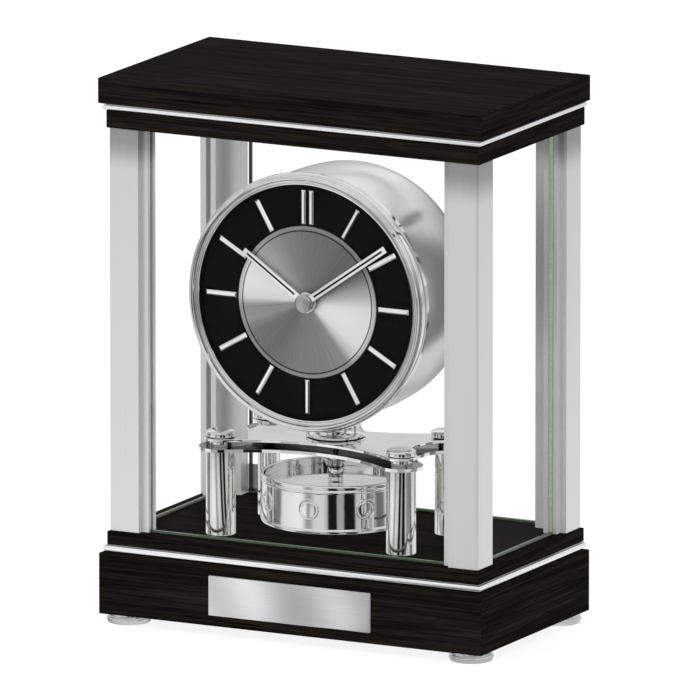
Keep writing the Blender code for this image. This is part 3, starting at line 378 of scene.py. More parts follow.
def brushed_plate():
    """The name plate's finely brushed silver, in which soft slanting bands of light lie."""
    material, made, shader = new_finish("brushed_name_plate", Metallic=1.0)
    lines = add_streaks(made, (20.0, 60.0, 1600.0))
    parts = made.parts(made.place())
    slant = made.maths("ADD", parts["X"], made.maths("MULTIPLY", parts["Z"], BAND_SLANT))
    turns = made.maths("ADD", made.maths("MULTIPLY", slant, BAND_TURNS), BAND_START)
    wave = made.maths("MULTIPLY", made.maths("SINE", turns), 0.5)
    bands = made.ramp(made.maths("ADD", wave, 0.5), [(0.0, 0.66), (0.5, 0.80), (1.0, 0.97)])
    fine = made.ramp(lines["Streak"], [(0.3, 0.93), (0.7, 1.0)])
    brushed = made.blend(1.0, bands, fine, "MULTIPLY")
    add_coat(made, shader, brushed, made.span(lines["Fleck"], 0.30, 0.40))
    add_bump(made, shader, lines["Streak"], 0.04, 0.00002)
    return material


def strip_metal():
    """The bright strips between the boards, with painted shade where they turn in to the boards."""
    material, made, shader = new_finish("satin_strip", Metallic=0.85)
    lines = add_streaks(made, (6.0, 6.0, 900.0))
    facing = made.parts(made.place("Normal"))
    # Where a strip's faces turn up or down towards the boards, its colour goes to dark grey: painted shade
    # standing in for the dark boards, which the metal doesn't mirror.
    painted_shade_mask = made.ramp(made.maths("ABSOLUTE", facing["Z"]), [(0.62, 0.0), (0.92, 1.0)])
    bright = made.blend(lines["Streak"], grey(0.93), grey(1.0))
    strip_painted_shade = made.blend(painted_shade_mask, bright, grey(0.16))
    add_coat(made, shader, strip_painted_shade, made.span(lines["Fleck"], 0.16, 0.26))
    add_bump(made, shader, lines["Streak"], 0.05, 0.00002)
    return material


CASE_SHADE_DEPTH = (-0.012, 0.018)      # from front to back along Y
CASE_SHADE_SIDE = (0.022, 0.052)        # from the middle to the right along X


def case_metal():
    """Bright spun metal that falls into shade towards the back of its right side."""
    material, made, shader = new_finish("spun_case_chrome", Metallic=1.0)
    rings = add_streaks(made, (40.0, 900.0, 40.0), detail=6.0)
    marks = add_handling(made, 30.0, 1800.0, 0.8)
    parts = made.parts(made.place())
    depth = made.span(parts["Y"], 0.0, 1.0, *CASE_SHADE_DEPTH, "SMOOTHSTEP")
    side = made.span(parts["X"], 0.0, 1.0, *CASE_SHADE_SIDE)
    light = made.blend(rings["Streak"], (0.86, 0.87, 0.85), (0.93, 0.94, 0.92))
    smudged = made.blend(made.span(marks["Smudge"], 0.0, 0.22), light, (0.55, 0.56, 0.54))
    side_tone = made.blend(made.maths("MULTIPLY", side, 0.42), smudged, (0.28, 0.285, 0.275))
    shade = made.maths("MULTIPLY", made.maths("MULTIPLY", depth, side), 0.85)
    shaded = made.blend(shade, side_tone, (0.10, 0.10, 0.095))
    add_coat(made, shader, shaded, made.span(marks["Smudge"], 0.17, 0.26))
    add_bump(made, shader, rings["Streak"], 0.03, 0.00002)
    return material


def plate_metal():
    """The stand's plates: bright edges, and painted shade on the faces where one plate looks at the other.
    """
    material, made, shader = new_finish("plate_chrome", Metallic=1.0)
    marks = add_handling(made, 50.0, 2200.0)
    height = made.parts(made.place())["Z"]
    facing = made.parts(made.place("Normal"))
    # The flat faces between the two plates' middles, which look at each other, are painted dark grey:
    # painted shade between the plates.
    flat = made.maths("GREATER_THAN", made.maths("ABSOLUTE", facing["Z"]), 0.9)
    low_enough = made.maths("LESS_THAN", height, middle("upper_plate").z)
    high_enough = made.maths("GREATER_THAN", height, middle("lower_plate").z)
    between = made.maths("MULTIPLY", flat, made.maths("MULTIPLY", low_enough, high_enough))
    bright = made.blend(marks["Smudge"], (0.91, 0.92, 0.90), (0.80, 0.81, 0.79))
    darkened = made.blend(between, bright, (0.16, 0.16, 0.155))
    add_coat(made, shader, darkened, made.span(marks["Smudge"], 0.04, 0.10))
    return material


# Turns clockwise from twelve (as a part of a whole turn) and how bright the brushed disc looks there
RAY_TONES = [
    (0.000, 0.265), (0.040, 0.250), (0.120, 0.190), (0.175, 0.250), (0.220, 0.60), (0.255, 0.95),
    (0.300, 1.00), (0.350, 0.96), (0.378, 0.66), (0.395, 0.36), (0.440, 0.32), (0.530, 0.30),
    (0.600, 0.225), (0.665, 0.240), (0.698, 0.40), (0.728, 0.36), (0.750, 0.90), (0.785, 1.00),
    (0.825, 0.98), (0.862, 0.56), (0.905, 0.42), (0.950, 0.32), (1.000, 0.265),
]
DISC_REACH = 0.036               # the radius at which the places on the disc's ring and rim count as 1


def spun_disc():
    """The dial's silver middle, brushed outwards from its centre, with one dark ring and a lighter rim.
    Such brushing gathers the light into rays, which are part of the colour here."""
    material, made, shader = new_finish("sunray_silver_disc", Metallic=1.0, Anisotropic=0.35)
    parts = made.parts(made.place())
    height = made.maths("SUBTRACT", parts["Z"], HEAD.z)
    flat = made.node("ShaderNodeCombineXYZ", in_X=parts["X"], in_Z=height).outputs[0]
    angle = made.maths("ARCTAN2", parts["X"], height)
    rays = made.ramp(made.maths("FRACT", made.maths("DIVIDE", angle, FULL_TURN)), RAY_TONES)
    outwards = made.vector_maths("NORMALIZE", flat)
    brushing = made.noise(outwards, in_Scale=42.0, in_Detail=5.0, in_Roughness=0.7)
    brushed = made.blend(0.42, rays, brushing, "OVERLAY")
    reach = made.maths("DIVIDE", made.vector_maths("LENGTH", flat), DISC_REACH)
    ring = made.ramp(reach, [(0.856, 0.0), (0.862, 1.0), (0.869, 1.0), (0.876, 0.0)])
    rim = made.ramp(reach, [(0.878, 0.0), (0.890, 1.0)])
    lighter = made.blend(made.maths("MULTIPLY", rim, 0.55), brushed, (0.42, 0.425, 0.41))
    ringed = made.blend(ring, lighter, (0.012, 0.012, 0.011))
    add_coat(made, shader, ringed, made.span(brushing, 0.34, 0.52))
    tangent = made.node("ShaderNodeTangent", direction_type="RADIAL", axis="Y")
    made.join(tangent.outputs["Tangent"], shader.inputs["Tangent"])
    return material


def dial_enamel():
    """Glossy black dial with the finest dust on it."""
    material, made, shader = new_finish("black_dial_enamel", Specular_IOR_Level=0.012)
    marks = add_handling(made, 80.0, 900.0)
    dust = made.span(marks["Speck"], 0.0, 0.20)
    dusty = made.blend(dust, (0.0052, 0.0062, 0.0046), (0.02, 0.02, 0.018))
    add_coat(made, shader, dusty, made.span(marks["Smudge"], 0.10, 0.22))
    return material


def clear_pane():
    """Clear glass with a faint green cast and dust."""
    material, made, shader = new_finish(
        "clear_pane", Roughness=0.0, IOR=1.035, Transmission_Weight=1.0, Specular_IOR_Level=0.010,
    )
    marks = add_handling(made, 25.0, 700.0)
    dust = made.span(marks["Smudge"], 0.0, 0.5)
    tinted = made.blend(dust, (0.995, 0.998, 0.995), (0.985, 0.992, 0.987))
    made.join(tinted, shader.inputs["Base Color"])
    return material


def pane_edge(name, dark, light):
    """A ground edge of a pane, streaked between the two tones that are given: the glass's green body colour
    at the feet of the panes, and painted light and painted shade on the upright edges.
    """
    material, made, shader = new_finish(name)
    lines = add_streaks(made, (30.0, 30.0, 900.0), 1.5, 4.0)
    green = made.ramp(lines["Streak"], [(0.3, dark), (0.7, light)])
    add_coat(made, shader, green, made.span(lines["Fleck"], 0.20, 0.38))
    return material


def moulded_plastic(name, colour, roughness):
    """Moulded plastic with a fine sparked texture and slight wear."""
    material, made, shader = new_finish(name)
    marks = add_handling(made, 70.0, 3000.0)
    texture = made.noise(made.place(), in_Scale=3200.0, in_Detail=3.0)
    lighter = tuple(value * 1.35 + 0.004 for value in colour)
    worn = made.blend(marks["Smudge"], colour, lighter)
    add_coat(made, shader, worn, made.span(marks["Smudge"], roughness, roughness + 0.12))
    add_bump(made, shader, texture, 0.3, 0.00005)
    return material


CELL_DARK = (0.016, 0.018, 0.024)
CELL_COPPER = (0.42, 0.20, 0.08)


def cell_sleeve():
    """The cell's plain two-tone sleeve, dark with a copper band at the positive end."""
    material, made, shader = new_finish("plain_cell_sleeve", Metallic=0.35)
    along = made.parts(made.place())["X"]
    bands = made.ramp(made.maths("ADD", made.maths("MULTIPLY", along, 20.0), 0.5), [
        (0.0, 0.42), (0.012, CELL_DARK), (0.66, CELL_DARK), (0.67, CELL_COPPER),
        (0.975, CELL_COPPER), (0.985, (0.55, 0.55, 0.54)),
    ], "CONSTANT")
    marks = add_handling(made, 90.0, 2500.0)
    smudged = made.blend(made.span(marks["Smudge"], 0.0, 0.2), bands, grey(0.2))
    add_coat(made, shader, smudged, made.span(marks["Smudge"], 0.22, 0.34))
    return material


EBONY = dark_wood()
POST_METAL = post_metal()
CAP_METAL = satin_metal("satin_hand_cap", (500.0, 30.0, 500.0), (0.50, 0.50, 0.49), 0.24, 0.34, 0.2)
STRIP_METAL = strip_metal()
# The feet's chrome is a darker copy of the polished chrome: its lower colour is painted shade, standing in
# for the darker reflections in the feet.
FOOT_METAL = polished_metal("foot_chrome", (0.66, 0.67, 0.66), 0.06)
PLATE_METAL = brushed_plate()
CASE_METAL = case_metal()
STAND_PLATE = plate_metal()
CHROME = polished_metal("polished_chrome", (0.80, 0.81, 0.79), 0.035, 0.09)
BRIGHT = polished_metal("mirror_silver", (0.97, 0.97, 0.96), 0.07, 0.03)
STEEL = satin_metal("turned_steel", (900.0, 900.0, 90.0), (0.56, 0.56, 0.57), 0.18, 0.30)
SPUN = spun_disc()
ENAMEL = dial_enamel()
GLASS = clear_pane()
FOOT_EDGE = pane_edge("green_pane_foot", (0.040, 0.062, 0.028), (0.085, 0.118, 0.062))
# Painted light: the right pane's rear edge, pale green as if lit.
PAINTED_LIGHT_EDGE = pane_edge("pane_edge_painted_light", (0.50, 0.62, 0.38), (0.62, 0.74, 0.50))
# Painted shade: the door's hinged edge, near black as if in shade.
PAINTED_SHADE_EDGE = pane_edge("pane_edge_painted_shade", (0.010, 0.012, 0.009), (0.030, 0.034, 0.028))
BLACK_PLASTIC = moulded_plastic("black_moulded_plastic", (0.013, 0.013, 0.014), 0.42)
WHITE_PLASTIC = moulded_plastic("white_moulded_plastic", (0.70, 0.70, 0.66), 0.40)
INLAY = moulded_plastic("black_hand_inlay", (0.004, 0.004, 0.004), 0.50)
SLEEVE = cell_sleeve()


# ---- Shape helpers ----
def add_piece(name, mesh, finish, body, slot, *stands_for):
    """Puts a mesh in the scene on its body, in place of the frame's nodes that it stands for."""
    piece = bpy.data.objects.new(name, mesh)
    bpy.context.scene.collection.objects.link(piece)
    mesh.materials.append(finish)
    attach(piece, body)
    if stands_for:
        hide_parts(*stands_for)
    return piece


def bridge(form, rows, closed=False):
    """Joins each row of corners to the next with faces. Corners that meet are taken once."""
    pairs = list(zip(rows, rows[1:]))
    if closed:
        pairs.append((rows[-1], rows[0]))
    for first, second in pairs:
        for index in range(len(first)):
            after = (index + 1) % len(first)
            corners = [first[index], first[after], second[after], second[index]]
            corners = [corner for place, corner in enumerate(corners) if corner not in corners[:place]]
            if len(corners) > 2:
                form.faces.new(corners)


def finished_mesh(form, name):
    """The form's mesh, with its faces turned outwards."""
    bmesh.ops.recalc_face_normals(form, faces=form.faces)
    mesh = bpy.data.meshes.new(name)
    form.to_mesh(mesh)
    form.free()
    return mesh


def crisp(mesh, degrees=30):
    """Smooth shading that keeps the real corners sharp."""
    mesh.shade_smooth()
    mesh.set_sharp_from_angle(angle=math.radians(degrees))
    return mesh


def arc(centre, radius, start, end, steps):
    """Points on an arc from start to end, in degrees."""
    points = []
    for index in range(steps + 1):
        angle = math.radians(start + (end - start) * index / steps)
        points.append((centre[0] + radius * math.cos(angle), centre[1] + radius * math.sin(angle)))
    return points


def turned(name, profile, origin, facing, steps):
    """A lathe-turned mesh. The profile has (radius, height) points in millimetres, and closes by itself.
    Ends at radius 0 meet on the axis."""
    form = bmesh.new()
    rows = []
    for radius, height in profile:
        if radius == 0:
            rows.append([form.verts.new((0, 0, height * MM))] * steps)
            continue
        ring = []
        for index in range(steps):
            angle = FULL_TURN * index / steps
            across, along = radius * math.cos(angle), radius * math.sin(angle)
            ring.append(form.verts.new(Vector((across, along, height)) * MM))
        rows.append(ring)
    bridge(form, rows, closed=profile[0][0] != 0)
    mesh = finished_mesh(form, name)
    mesh.transform(Matrix.Translation(origin) @ facing)
    return crisp(mesh)


def add_turned(name, profile, origin, facing, steps, finish, body, slot, node):
    """A lathe-turned piece that stands for a node of the frame."""
    mesh = turned(name, profile, origin, facing, steps)
    return add_piece(name, mesh, finish, body, slot, node)


def box_between(name, low, high):
    """A plain box mesh between two corners, whose piece gets its rounded edges from soften()."""
    form = bmesh.new()
    corners = []
    for x in (low[0], high[0]):
        for y in (low[1], high[1]):
            for z in (low[2], high[2]):
                corners.append(form.verts.new((x, y, z)))
    for face in ((0, 1, 3, 2), (4, 6, 7, 5), (0, 4, 5, 1), (2, 3, 7, 6), (0, 2, 6, 4), (1, 5, 7, 3)):
        form.faces.new([corners[index] for index in face])
    return finished_mesh(form, name)


def soften(piece, width, segments=2, limit=40):
    """Welds the frame's split corners and rounds the sharp edges a little."""
    weld = piece.modifiers.new("weld", "WELD")
    weld.merge_threshold = 0.00001
    bevel = piece.modifiers.new("round_edges", "BEVEL")
    bevel.width = width
    bevel.segments = segments
    bevel.limit_method = "ANGLE"
    bevel.angle_limit = math.radians(limit)
    bevel.harden_normals = True


def finish_node(node, finish, width=0.0, limit=40):
    """Gives a node of the frame its finish, and edges rounded to the width that is given."""
    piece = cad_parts[node]
    for place in piece.material_slots:
        place.material = finish
    if width:
        soften(piece, width, 2, limit)
    return piece


# ---- Case of boards, posts and glass ----
STRIP_GAPS = (("plinth_strip", 31.8, 34.4), ("top_strip", 226.2, 228.2))    # their lowest and top heights
STRIP_DEPTH = 1.15               # how far a strip's round front stands out
STRIP_BACK = -1.5                # where the half-round ends and the tongue ends, from the strip's front
TONGUE_END = -6.0
TONGUE_HALF = 0.7                # half the tongue's thickness
FOOT_EDGE_PROUD = 0.00004        # how far a pane's edge pieces stand out of its faces
UPRIGHT_EDGE_PROUD = 0.00005
EDGE_ROUND = 0.00008
FOOT_EDGE_RISE = 0.0007          # above the foot of the pane
FOOT_EDGE_GAP = 0.0001           # above the base panel
DOOR_EDGE_DROP = 0.0002          # below the foot of the door's pane
RIGHT_EDGE_WIDTH = 0.0034
REAR_EDGE_WIDTH = 0.0009


CORNERS = ("front_left", "front_right", "rear_left", "rear_right")


def dress_boards():
    """The boards, which the polished metal doesn't mirror, and the bright strips between them."""
    for node in ("plinth", "base_panel", "top_lower_panel", "top_slab"):
        finish_node(node, EBONY, width=0.00035).visible_glossy = False
    for node, bottom, top in STRIP_GAPS:
        make_strip(node, bottom, top)


def make_strip(node, bottom, top):
    """A half-round strip that fills the gap between two boards, with a tongue that goes in between them."""
    low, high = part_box(node)
    centre, half = (bottom + top) / 2, (top - bottom) / 2
    tongue = (centre - TONGUE_HALF, centre + TONGUE_HALF)
    shape = [(TONGUE_END, tongue[0]), (STRIP_BACK, tongue[0]), (STRIP_BACK, bottom)]
    for out, rise in arc((-1, 0), 1.0, -90, 90, 8):
        shape.append((out * STRIP_DEPTH, centre + rise * half))
    shape += [(STRIP_BACK, top), (STRIP_BACK, tongue[1]), (TONGUE_END, tongue[1])]
    form = bmesh.new()
    rows = []
    for out, height in shape:
        x, front, back = high.x + out * MM, low.y - out * MM, high.y + out * MM
        corners = ((-x, front), (x, front), (x, back), (-x, back))
        rows.append([form.verts.new((*corner, height * MM)) for corner in corners])
    bridge(form, rows, closed=True)
    name = f"rounded_{node}"
    mesh = crisp(finished_mesh(form, name))
    add_piece(name, mesh, STRIP_METAL, "case_and_head", "satin_aluminium", node)


def dress_posts():
    for corner in CORNERS:
        finish_node(f"post_{corner}", POST_METAL, width=0.00012)


def make_feet():
    """Stepped feet: a broad rounded pad, a waist groove and a collar under the plinth."""
    profile = [(0, 3.9), (8.4, 3.9), (8.75, 3.75), (8.8, 3.4), (8.6, 3.1), (8.8, 2.85), (9.3, 2.75)]
    profile += arc((9.0, 1.75), 0.7, 70, -45, 8)
    profile += [(9.2, 0.15), (8.9, 0.0), (0, 0.0)]
    for corner in CORNERS:
        node = f"foot_{corner}"
        place = middle(node)
        add_turned(f"turned_{node}", profile, (place.x, place.y, 0), UP, SMALL_STEPS, FOOT_METAL,
                   "case_and_head", "chrome", node)


def dress_panes():
    """Panes let light through to the works, so they cast no shadow, and each has a green lower edge.
    The polished works mirror the studio past them."""
    for node in ("front_glass", "left_glass", "right_glass", "rear_glass"):
        pane = finish_node(node, GLASS)
        pane.visible_shadow = False
        pane.visible_glossy = False
        low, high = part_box(node)
        faces_side = high.x - low.x < high.y - low.y
        grow = Vector((FOOT_EDGE_PROUD, 0, 0)) if faces_side else Vector((0, FOOT_EDGE_PROUD, 0))
        is_door = node == "rear_glass"
        bottom = low.z - DOOR_EDGE_DROP if is_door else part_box("base_panel")[1].z + FOOT_EDGE_GAP
        start = Vector((low.x, low.y, bottom)) - grow
        end = Vector((high.x, high.y, low.z + FOOT_EDGE_RISE)) + grow
        mesh = box_between(f"{node}_edge", start, end)
        body = "rear_door" if is_door else "case_and_head"
        edge = add_piece(f"{node}_foot_edge", mesh, FOOT_EDGE, body, "clear_glass")
        soften(edge, EDGE_ROUND, 1)
    add_upright_edges()


def add_upright_edges():
    """The upright edges: a pale green one of painted light at the right pane's rear, and a near-black one
    of painted shade at the door's hinged side.
    """
    proud = Vector((UPRIGHT_EDGE_PROUD, UPRIGHT_EDGE_PROUD, 0))
    for node, finish, body in (
        ("right_glass", PAINTED_LIGHT_EDGE, "case_and_head"), ("rear_glass", PAINTED_SHADE_EDGE, "rear_door"),
    ):
        low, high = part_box(node)
        start = low - proud
        end = high + proud
        if node == "right_glass":
            start.y = high.y - RIGHT_EDGE_WIDTH
        else:
            end.x = low.x + REAR_EDGE_WIDTH
        name = f"{node}_upright_edge"
        edge = add_piece(name, box_between(name, start, end), finish, body, "clear_glass")
        edge.visible_glossy = False
        soften(edge, EDGE_ROUND, 1)


def dress_name_plate():
    finish_node("name_plate", PLATE_METAL, width=0.00025)


def dress_door():
    for node in ("door_hinge_clip_lower", "door_hinge_clip_upper", "door_striker"):
        finish_node(node, STEEL, width=0.0001)
    finish_node("magnetic_catch", BLACK_PLASTIC, width=0.0003)
    low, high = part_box("door_knob")
    place = middle("door_knob")
    length = (high.y - low.y) / MM
    head = (high.x - low.x) / 2 / MM
    thick = 2.6
    profile = [(0, 0), (head - 0.4, 0), (head - 0.1, 0.15), (head, 0.5), (head, thick - 0.6)]
    profile += [(head - 0.3, thick - 0.1), (head - 0.8, thick), (1.6, thick), (1.6, length - 1.0)]
    profile += [(2.6, length - 1.0), (2.8, length - 0.8), (2.8, length - 0.2), (2.6, length), (0, length)]
    add_turned("turned_door_knob", profile, (place.x, high.y, place.z), TO_FRONT, SMALL_STEPS, CHROME,
               "rear_door", "chrome", "door_knob")


# ---- Stand: plates, pillars and the drum between them ----
def make_pillars():
    """Polished pillars with rounded shoulders and a neck, and domed caps with a groove."""
    for row, radius, neck in (("front", 6.45, 4.7), ("rear", 4.85, 3.6)):
        profile = [(0, 85.8), (2.2, 85.8), (2.2, 81.8), (neck, 81.8), (neck, 77.9), (neck + 0.1, 77.8)]
        profile += arc((radius - 0.45, 77.35), 0.45, 90, 0, 5)
        profile += arc((radius - 0.35, 41.15), 0.35, 0, -90, 4)
        profile += [(0, 40.8)]
        cap = [(0, 86.8), (3.6, 86.75), (5.2, 86.5), (6.1, 86.1), (6.45, 85.7), (6.5, 85.45), (6.2, 85.3)]
        cap += [(6.2, 85.1), (6.5, 84.95), (6.5, 84.1), (6.3, 83.8), (2.5, 83.8), (2.5, 86.1), (0, 86.1)]
        for side in ("left", "right"):
            place = middle(f"pillar_{row}_{side}")
            for node, shape in ((f"pillar_{row}_{side}", profile), (f"pillar_cap_{row}_{side}", cap)):
                add_turned(f"turned_{node}", shape, (place.x, place.y, 0), UP, MIDDLE_STEPS, CHROME,
                           "case_and_head", "chrome", node)


def dress_plates():
    for node in ("lower_plate", "upper_plate"):
        finish_node(node, STAND_PLATE, width=0.0003, limit=50)


NECK_RISE = 7.5                  # where the pedestal's cove ends, above its foot
SADDLE_GAP = 0.3                 # between the pedestal's top and the case
SPINDLE_WAY = 1.8                # the radius of the hole for the spindle


def make_pedestal():
    """The neck that carries the head: a cove at its foot, and a top hollowed to the head's curve."""
    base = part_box("pedestal")[0].z / MM
    axis_y = DRUM_AXIS.y / MM
    shape = [(SPINDLE_WAY, 0.0), (12.6, 0.0), (13.0, 0.4), (13.0, 1.0)]
    shape += arc((15.4, 5.0), 4.7, 238, 150, 10)
    form = bmesh.new()
    rows = []
    for radius, height in shape + [(11.4, None), (SPINDLE_WAY, None)]:
        ring = []
        for index in range(MIDDLE_STEPS):
            angle = FULL_TURN * index / MIDDLE_STEPS
            x, y = radius * math.cos(angle), radius * math.sin(angle)
            saddle = HEAD.z / MM - math.sqrt((CASE_RADIUS + SADDLE_GAP) ** 2 - x * x)
            z = saddle if height is None else base + min(height, NECK_RISE)
            ring.append(form.verts.new((x * MM, (axis_y + y) * MM, z * MM)))
        rows.append(ring)
    bridge(form, rows, closed=True)
    mesh = crisp(finished_mesh(form, "coved_pedestal"))
    add_piece("coved_pedestal", mesh, CHROME, "case_and_head", "chrome", "pedestal")


def drum_profile():
    """Two beads round the rim, a plain wall, a bead at the foot, and a recess for the top plate."""
    profile = [(0, 48.2), (29.6, 48.2), (29.6, 62.5), (31.0, 62.5), (31.0, 67.1)]
    profile += arc((31.8, 67.2), 0.8, 175, 0, 12)
    profile += [(32.6, 66.7), (32.45, 66.3), (32.15, 66.1), (32.1, 65.95), (32.2, 65.8)]
    profile += arc((31.95, 65.0), 0.65, 62, -62, 8)
    profile += [(DRUM_WALL, 64.25), (DRUM_WALL, 48.9), (32.3, 48.7)]
    profile += arc((31.85, 47.9), 0.75, 50, -40, 8)
    profile += [(32.2, 47.0), (31.8, 46.8), (0, 46.8)]
    return profile


def make_drum():
    """The drum with the plate in its top, its hub, and the bearing that hangs above it."""
    plate = [(1.3, 63.8), (1.3, 62.8), (30.7, 62.8), (30.7, 63.55), (30.5, 63.8)]
    hub = [(1.3, 64.1), (3.4, 64.1), (3.5, 64.2), (3.5, 66.2), (3.2, 66.4), (3.2, 68.6)]
    hub += [(2.9, 69.2), (1.3, 69.2)]
    bearing = [(1.3, 69.6), (3.4, 69.6), (3.7, 69.9), (3.7, 72.0), (4.0, 72.3), (4.0, 77.5)]
    bearing += [(3.8, 77.8), (1.3, 77.8)]
    for name, profile, steps, body, node in (
        ("beaded_drum", drum_profile(), LARGE_STEPS, "pendulum", "pendulum_drum"),
        ("drum_top", plate, LARGE_STEPS, "pendulum", "pendulum_top_plate"),
        ("turned_hub", hub, SMALL_STEPS, "pendulum", "pendulum_hub"),
        ("turned_bearing", bearing, SMALL_STEPS, "case_and_head", "pendulum_bearing"),
    ):
        add_turned(name, profile, DRUM_AXIS, UP, steps, CHROME, body, "chrome", node)
    finish_node("pendulum_spindle", STEEL)
    finish_node("pendulum_motor", BLACK_PLASTIC)


DIMPLE_COUNT = 8
DIMPLE_START = math.radians(-84.3)
DIMPLE_HEIGHT = 57.4
DIMPLE_SHAPE = [    # radius, and height above the drum's wall
    (0.0, 0.30), (0.9, 0.29), (1.8, 0.25), (2.6, 0.18), (3.1, 0.10), (3.4, 0.0), (3.6, -0.12),
    (3.75, -0.12), (3.9, 0.02), (4.05, 0.26), (4.2, 0.40), (4.35, 0.44), (4.5, 0.38), (4.62, 0.22),
    (4.7, 0.0), (4.72, -0.35),
]


def make_dimples():
    """Round bosses on the drum, each a domed button in a raised ring that follows the wall's curve."""
    form = bmesh.new()
    for dimple in range(DIMPLE_COUNT):
        turn = DIMPLE_START + FULL_TURN * dimple / DIMPLE_COUNT
        outward = Vector((math.cos(turn), math.sin(turn), 0))
        sideways = Vector((-math.sin(turn), math.cos(turn), 0))
        rows = []
        for radius, proud in DIMPLE_SHAPE:
            ring = []
            for index in range(SMALL_STEPS):
                angle = FULL_TURN * index / SMALL_STEPS
                along, up = radius * math.cos(angle), radius * math.sin(angle)
                reach = math.sqrt(DRUM_WALL ** 2 - along ** 2) + proud
                place = outward * reach + sideways * along + Vector((0, 0, DIMPLE_HEIGHT + up))
                ring.append(form.verts.new(place * MM + DRUM_AXIS))
                if radius == 0:
                    ring *= SMALL_STEPS
                    break
            rows.append(ring)
        bridge(form, rows[::-1])
    mesh = bpy.data.meshes.new("drum_buttons")
    form.to_mesh(mesh)
    form.free()
    add_piece("drum_buttons", crisp(mesh, 60), CHROME, "pendulum", "chrome")


# ---- Head ----
def make_bezel():
    """A fine inner lip, a cove, a high round ridge, a thin groove and a broad rounded outer band."""
    profile = [(51.6, 34.1), (51.6, 35.9), (51.75, 36.2), (52.0, 36.3), (52.2, 36.2), (52.35, 35.95)]
    profile += arc((52.95, 36.05), 0.55, 195, 330, 8)
    profile += [(53.5, 36.8), (53.6, 37.4), (53.8, 37.95), (54.1, 38.3), (54.45, 38.5), (54.8, 38.42)]
    profile += [(55.05, 38.15), (55.2, 37.75), (55.25, 37.4), (55.35, 37.15), (55.5, 37.1)]
    profile += [(55.75, 37.05), (56.1, 36.75), (56.4, 36.2), (56.6, 35.4), (56.7, 34.4), (56.7, 33.6)]
    profile += [(56.6, 32.7), (56.35, 31.8), (56.0, 31.1), (55.7, 30.8), (55.7, 28.3), (53.3, 28.3)]
    profile += [(53.3, 34.1)]
    add_turned("stepped_bezel", profile, HEAD_AXIS, TO_FRONT, LARGE_STEPS, CHROME,
               "case_and_head", "chrome", "bezel")


def make_case():
    """The spun case, straight behind the bezel and then drawn in to the back in one curve."""
    curve = [(55.0, 8.0), (54.95, 4.0), (54.8, -0.5), (54.55, -5.0), (54.15, -9.5), (53.5, -13.0)]
    curve += [(52.6, -15.6), (51.5, -17.1), (50.0, -18.0)]
    outer = [(52.9, 32.5), (52.9, 28.0), (55.0, 28.0)] + curve + [(44.0, -18.0)]
    inner = [(44.0, -16.8), (49.8, -16.8), (51.8, -13.4), (53.2, -8.0), (53.8, 8.0), (53.8, 26.5)]
    inner += [(50.5, 26.5), (50.5, 32.5)]
    add_turned("spun_case", outer + inner, HEAD_AXIS, TO_FRONT, LARGE_STEPS, CASE_METAL,
               "case_and_head", "chrome", "head_case")
    cover = [(43.7, -16.8), (43.7, -18.3), (47.2, -18.3), (47.5, -18.5), (47.5, -18.9), (47.2, -19.2)]
    cover += [(36.3, -19.2), (36.0, -18.9), (36.0, -16.8)]
    add_turned("back_cover", cover, HEAD_AXIS, TO_FRONT, MIDDLE_STEPS, BLACK_PLASTIC,
               "case_and_head", "black_plastic", "head_back_cover")


MARKER_RANGE = (34.1, 49.0)
MARKER_WIDTH = 2.3
MARKER_SHIFT = 1.84              # half the spacing of the two bars at twelve
MARKER_SLOPE = 0.62              # how wide a bar's sloping sides are
MARKER_FOOT = -0.3               # heights above the dial
MARKER_EDGE = 0.65
MARKER_TOP = 1.2
MARKER_ROUND = 0.00006


def make_hour_bars():
    """Thirteen hipped bars: a narrow flat top with sloping sides and ends."""
    form = bmesh.new()
    places = [(0, -MARKER_SHIFT), (0, MARKER_SHIFT)]
    places += [(FULL_TURN * hour / 12, 0) for hour in range(1, 12)]
    half = MARKER_WIDTH / 2
    start, end = MARKER_RANGE
    for turn, shift in places:
        levels = []
        for inset, height in ((0, MARKER_FOOT), (0, MARKER_EDGE), (MARKER_SLOPE, MARKER_TOP)):
            ring = []
            for x, y in ((-half, start), (half, start), (half, end), (-half, end)):
                x -= math.copysign(inset, x)
                y += inset if y == start else -inset
                x += shift
                across = x * math.cos(turn) + y * math.sin(turn)
                up = y * math.cos(turn) - x * math.sin(turn)
                front = (DIAL_FRONT + height) * MM
                ring.append(form.verts.new((across * MM, -front, HEAD.z + up * MM)))
            levels.append(ring)
        bridge(form, levels)
        form.faces.new(levels[0][::-1])
        form.faces.new(levels[-1])
    mesh = finished_mesh(form, "hour_bars")
    bars = add_piece("hour_bars", mesh, BRIGHT, "case_and_head", "polished_silver")
    soften(bars, MARKER_ROUND, 1)


def make_dial():
    face = [(3.7, 33.8), (3.7, 32.8), (53.0, 32.8), (53.0, 33.8)]
    add_turned("dial_face", face, HEAD_AXIS, TO_FRONT, LARGE_STEPS, ENAMEL,
               "case_and_head", "dial_black", "dial_plate")
    make_hour_bars()
    disc = [(3.7, 34.55), (3.7, 34.1), (33.3, 34.1), (33.3, 34.4), (33.1, 34.6), (31.4, 34.6)]
    disc += [(31.3, 34.45), (31.1, 34.45), (31.0, 34.6), (4.0, 34.6)]
    add_turned("spun_dial_disc", disc, HEAD_AXIS, TO_FRONT, LARGE_STEPS, SPUN,
               "case_and_head", "spun_silver", "dial_centre")
    nut = [(3.6, 35.9), (3.6, 34.9), (4.7, 34.9), (4.7, 35.4), (4.5, 35.75), (4.2, 35.9)]
    add_turned("turned_dial_nut", nut, HEAD_AXIS, TO_FRONT, SMALL_STEPS, CHROME,
               "case_and_head", "chrome", "dial_nut")


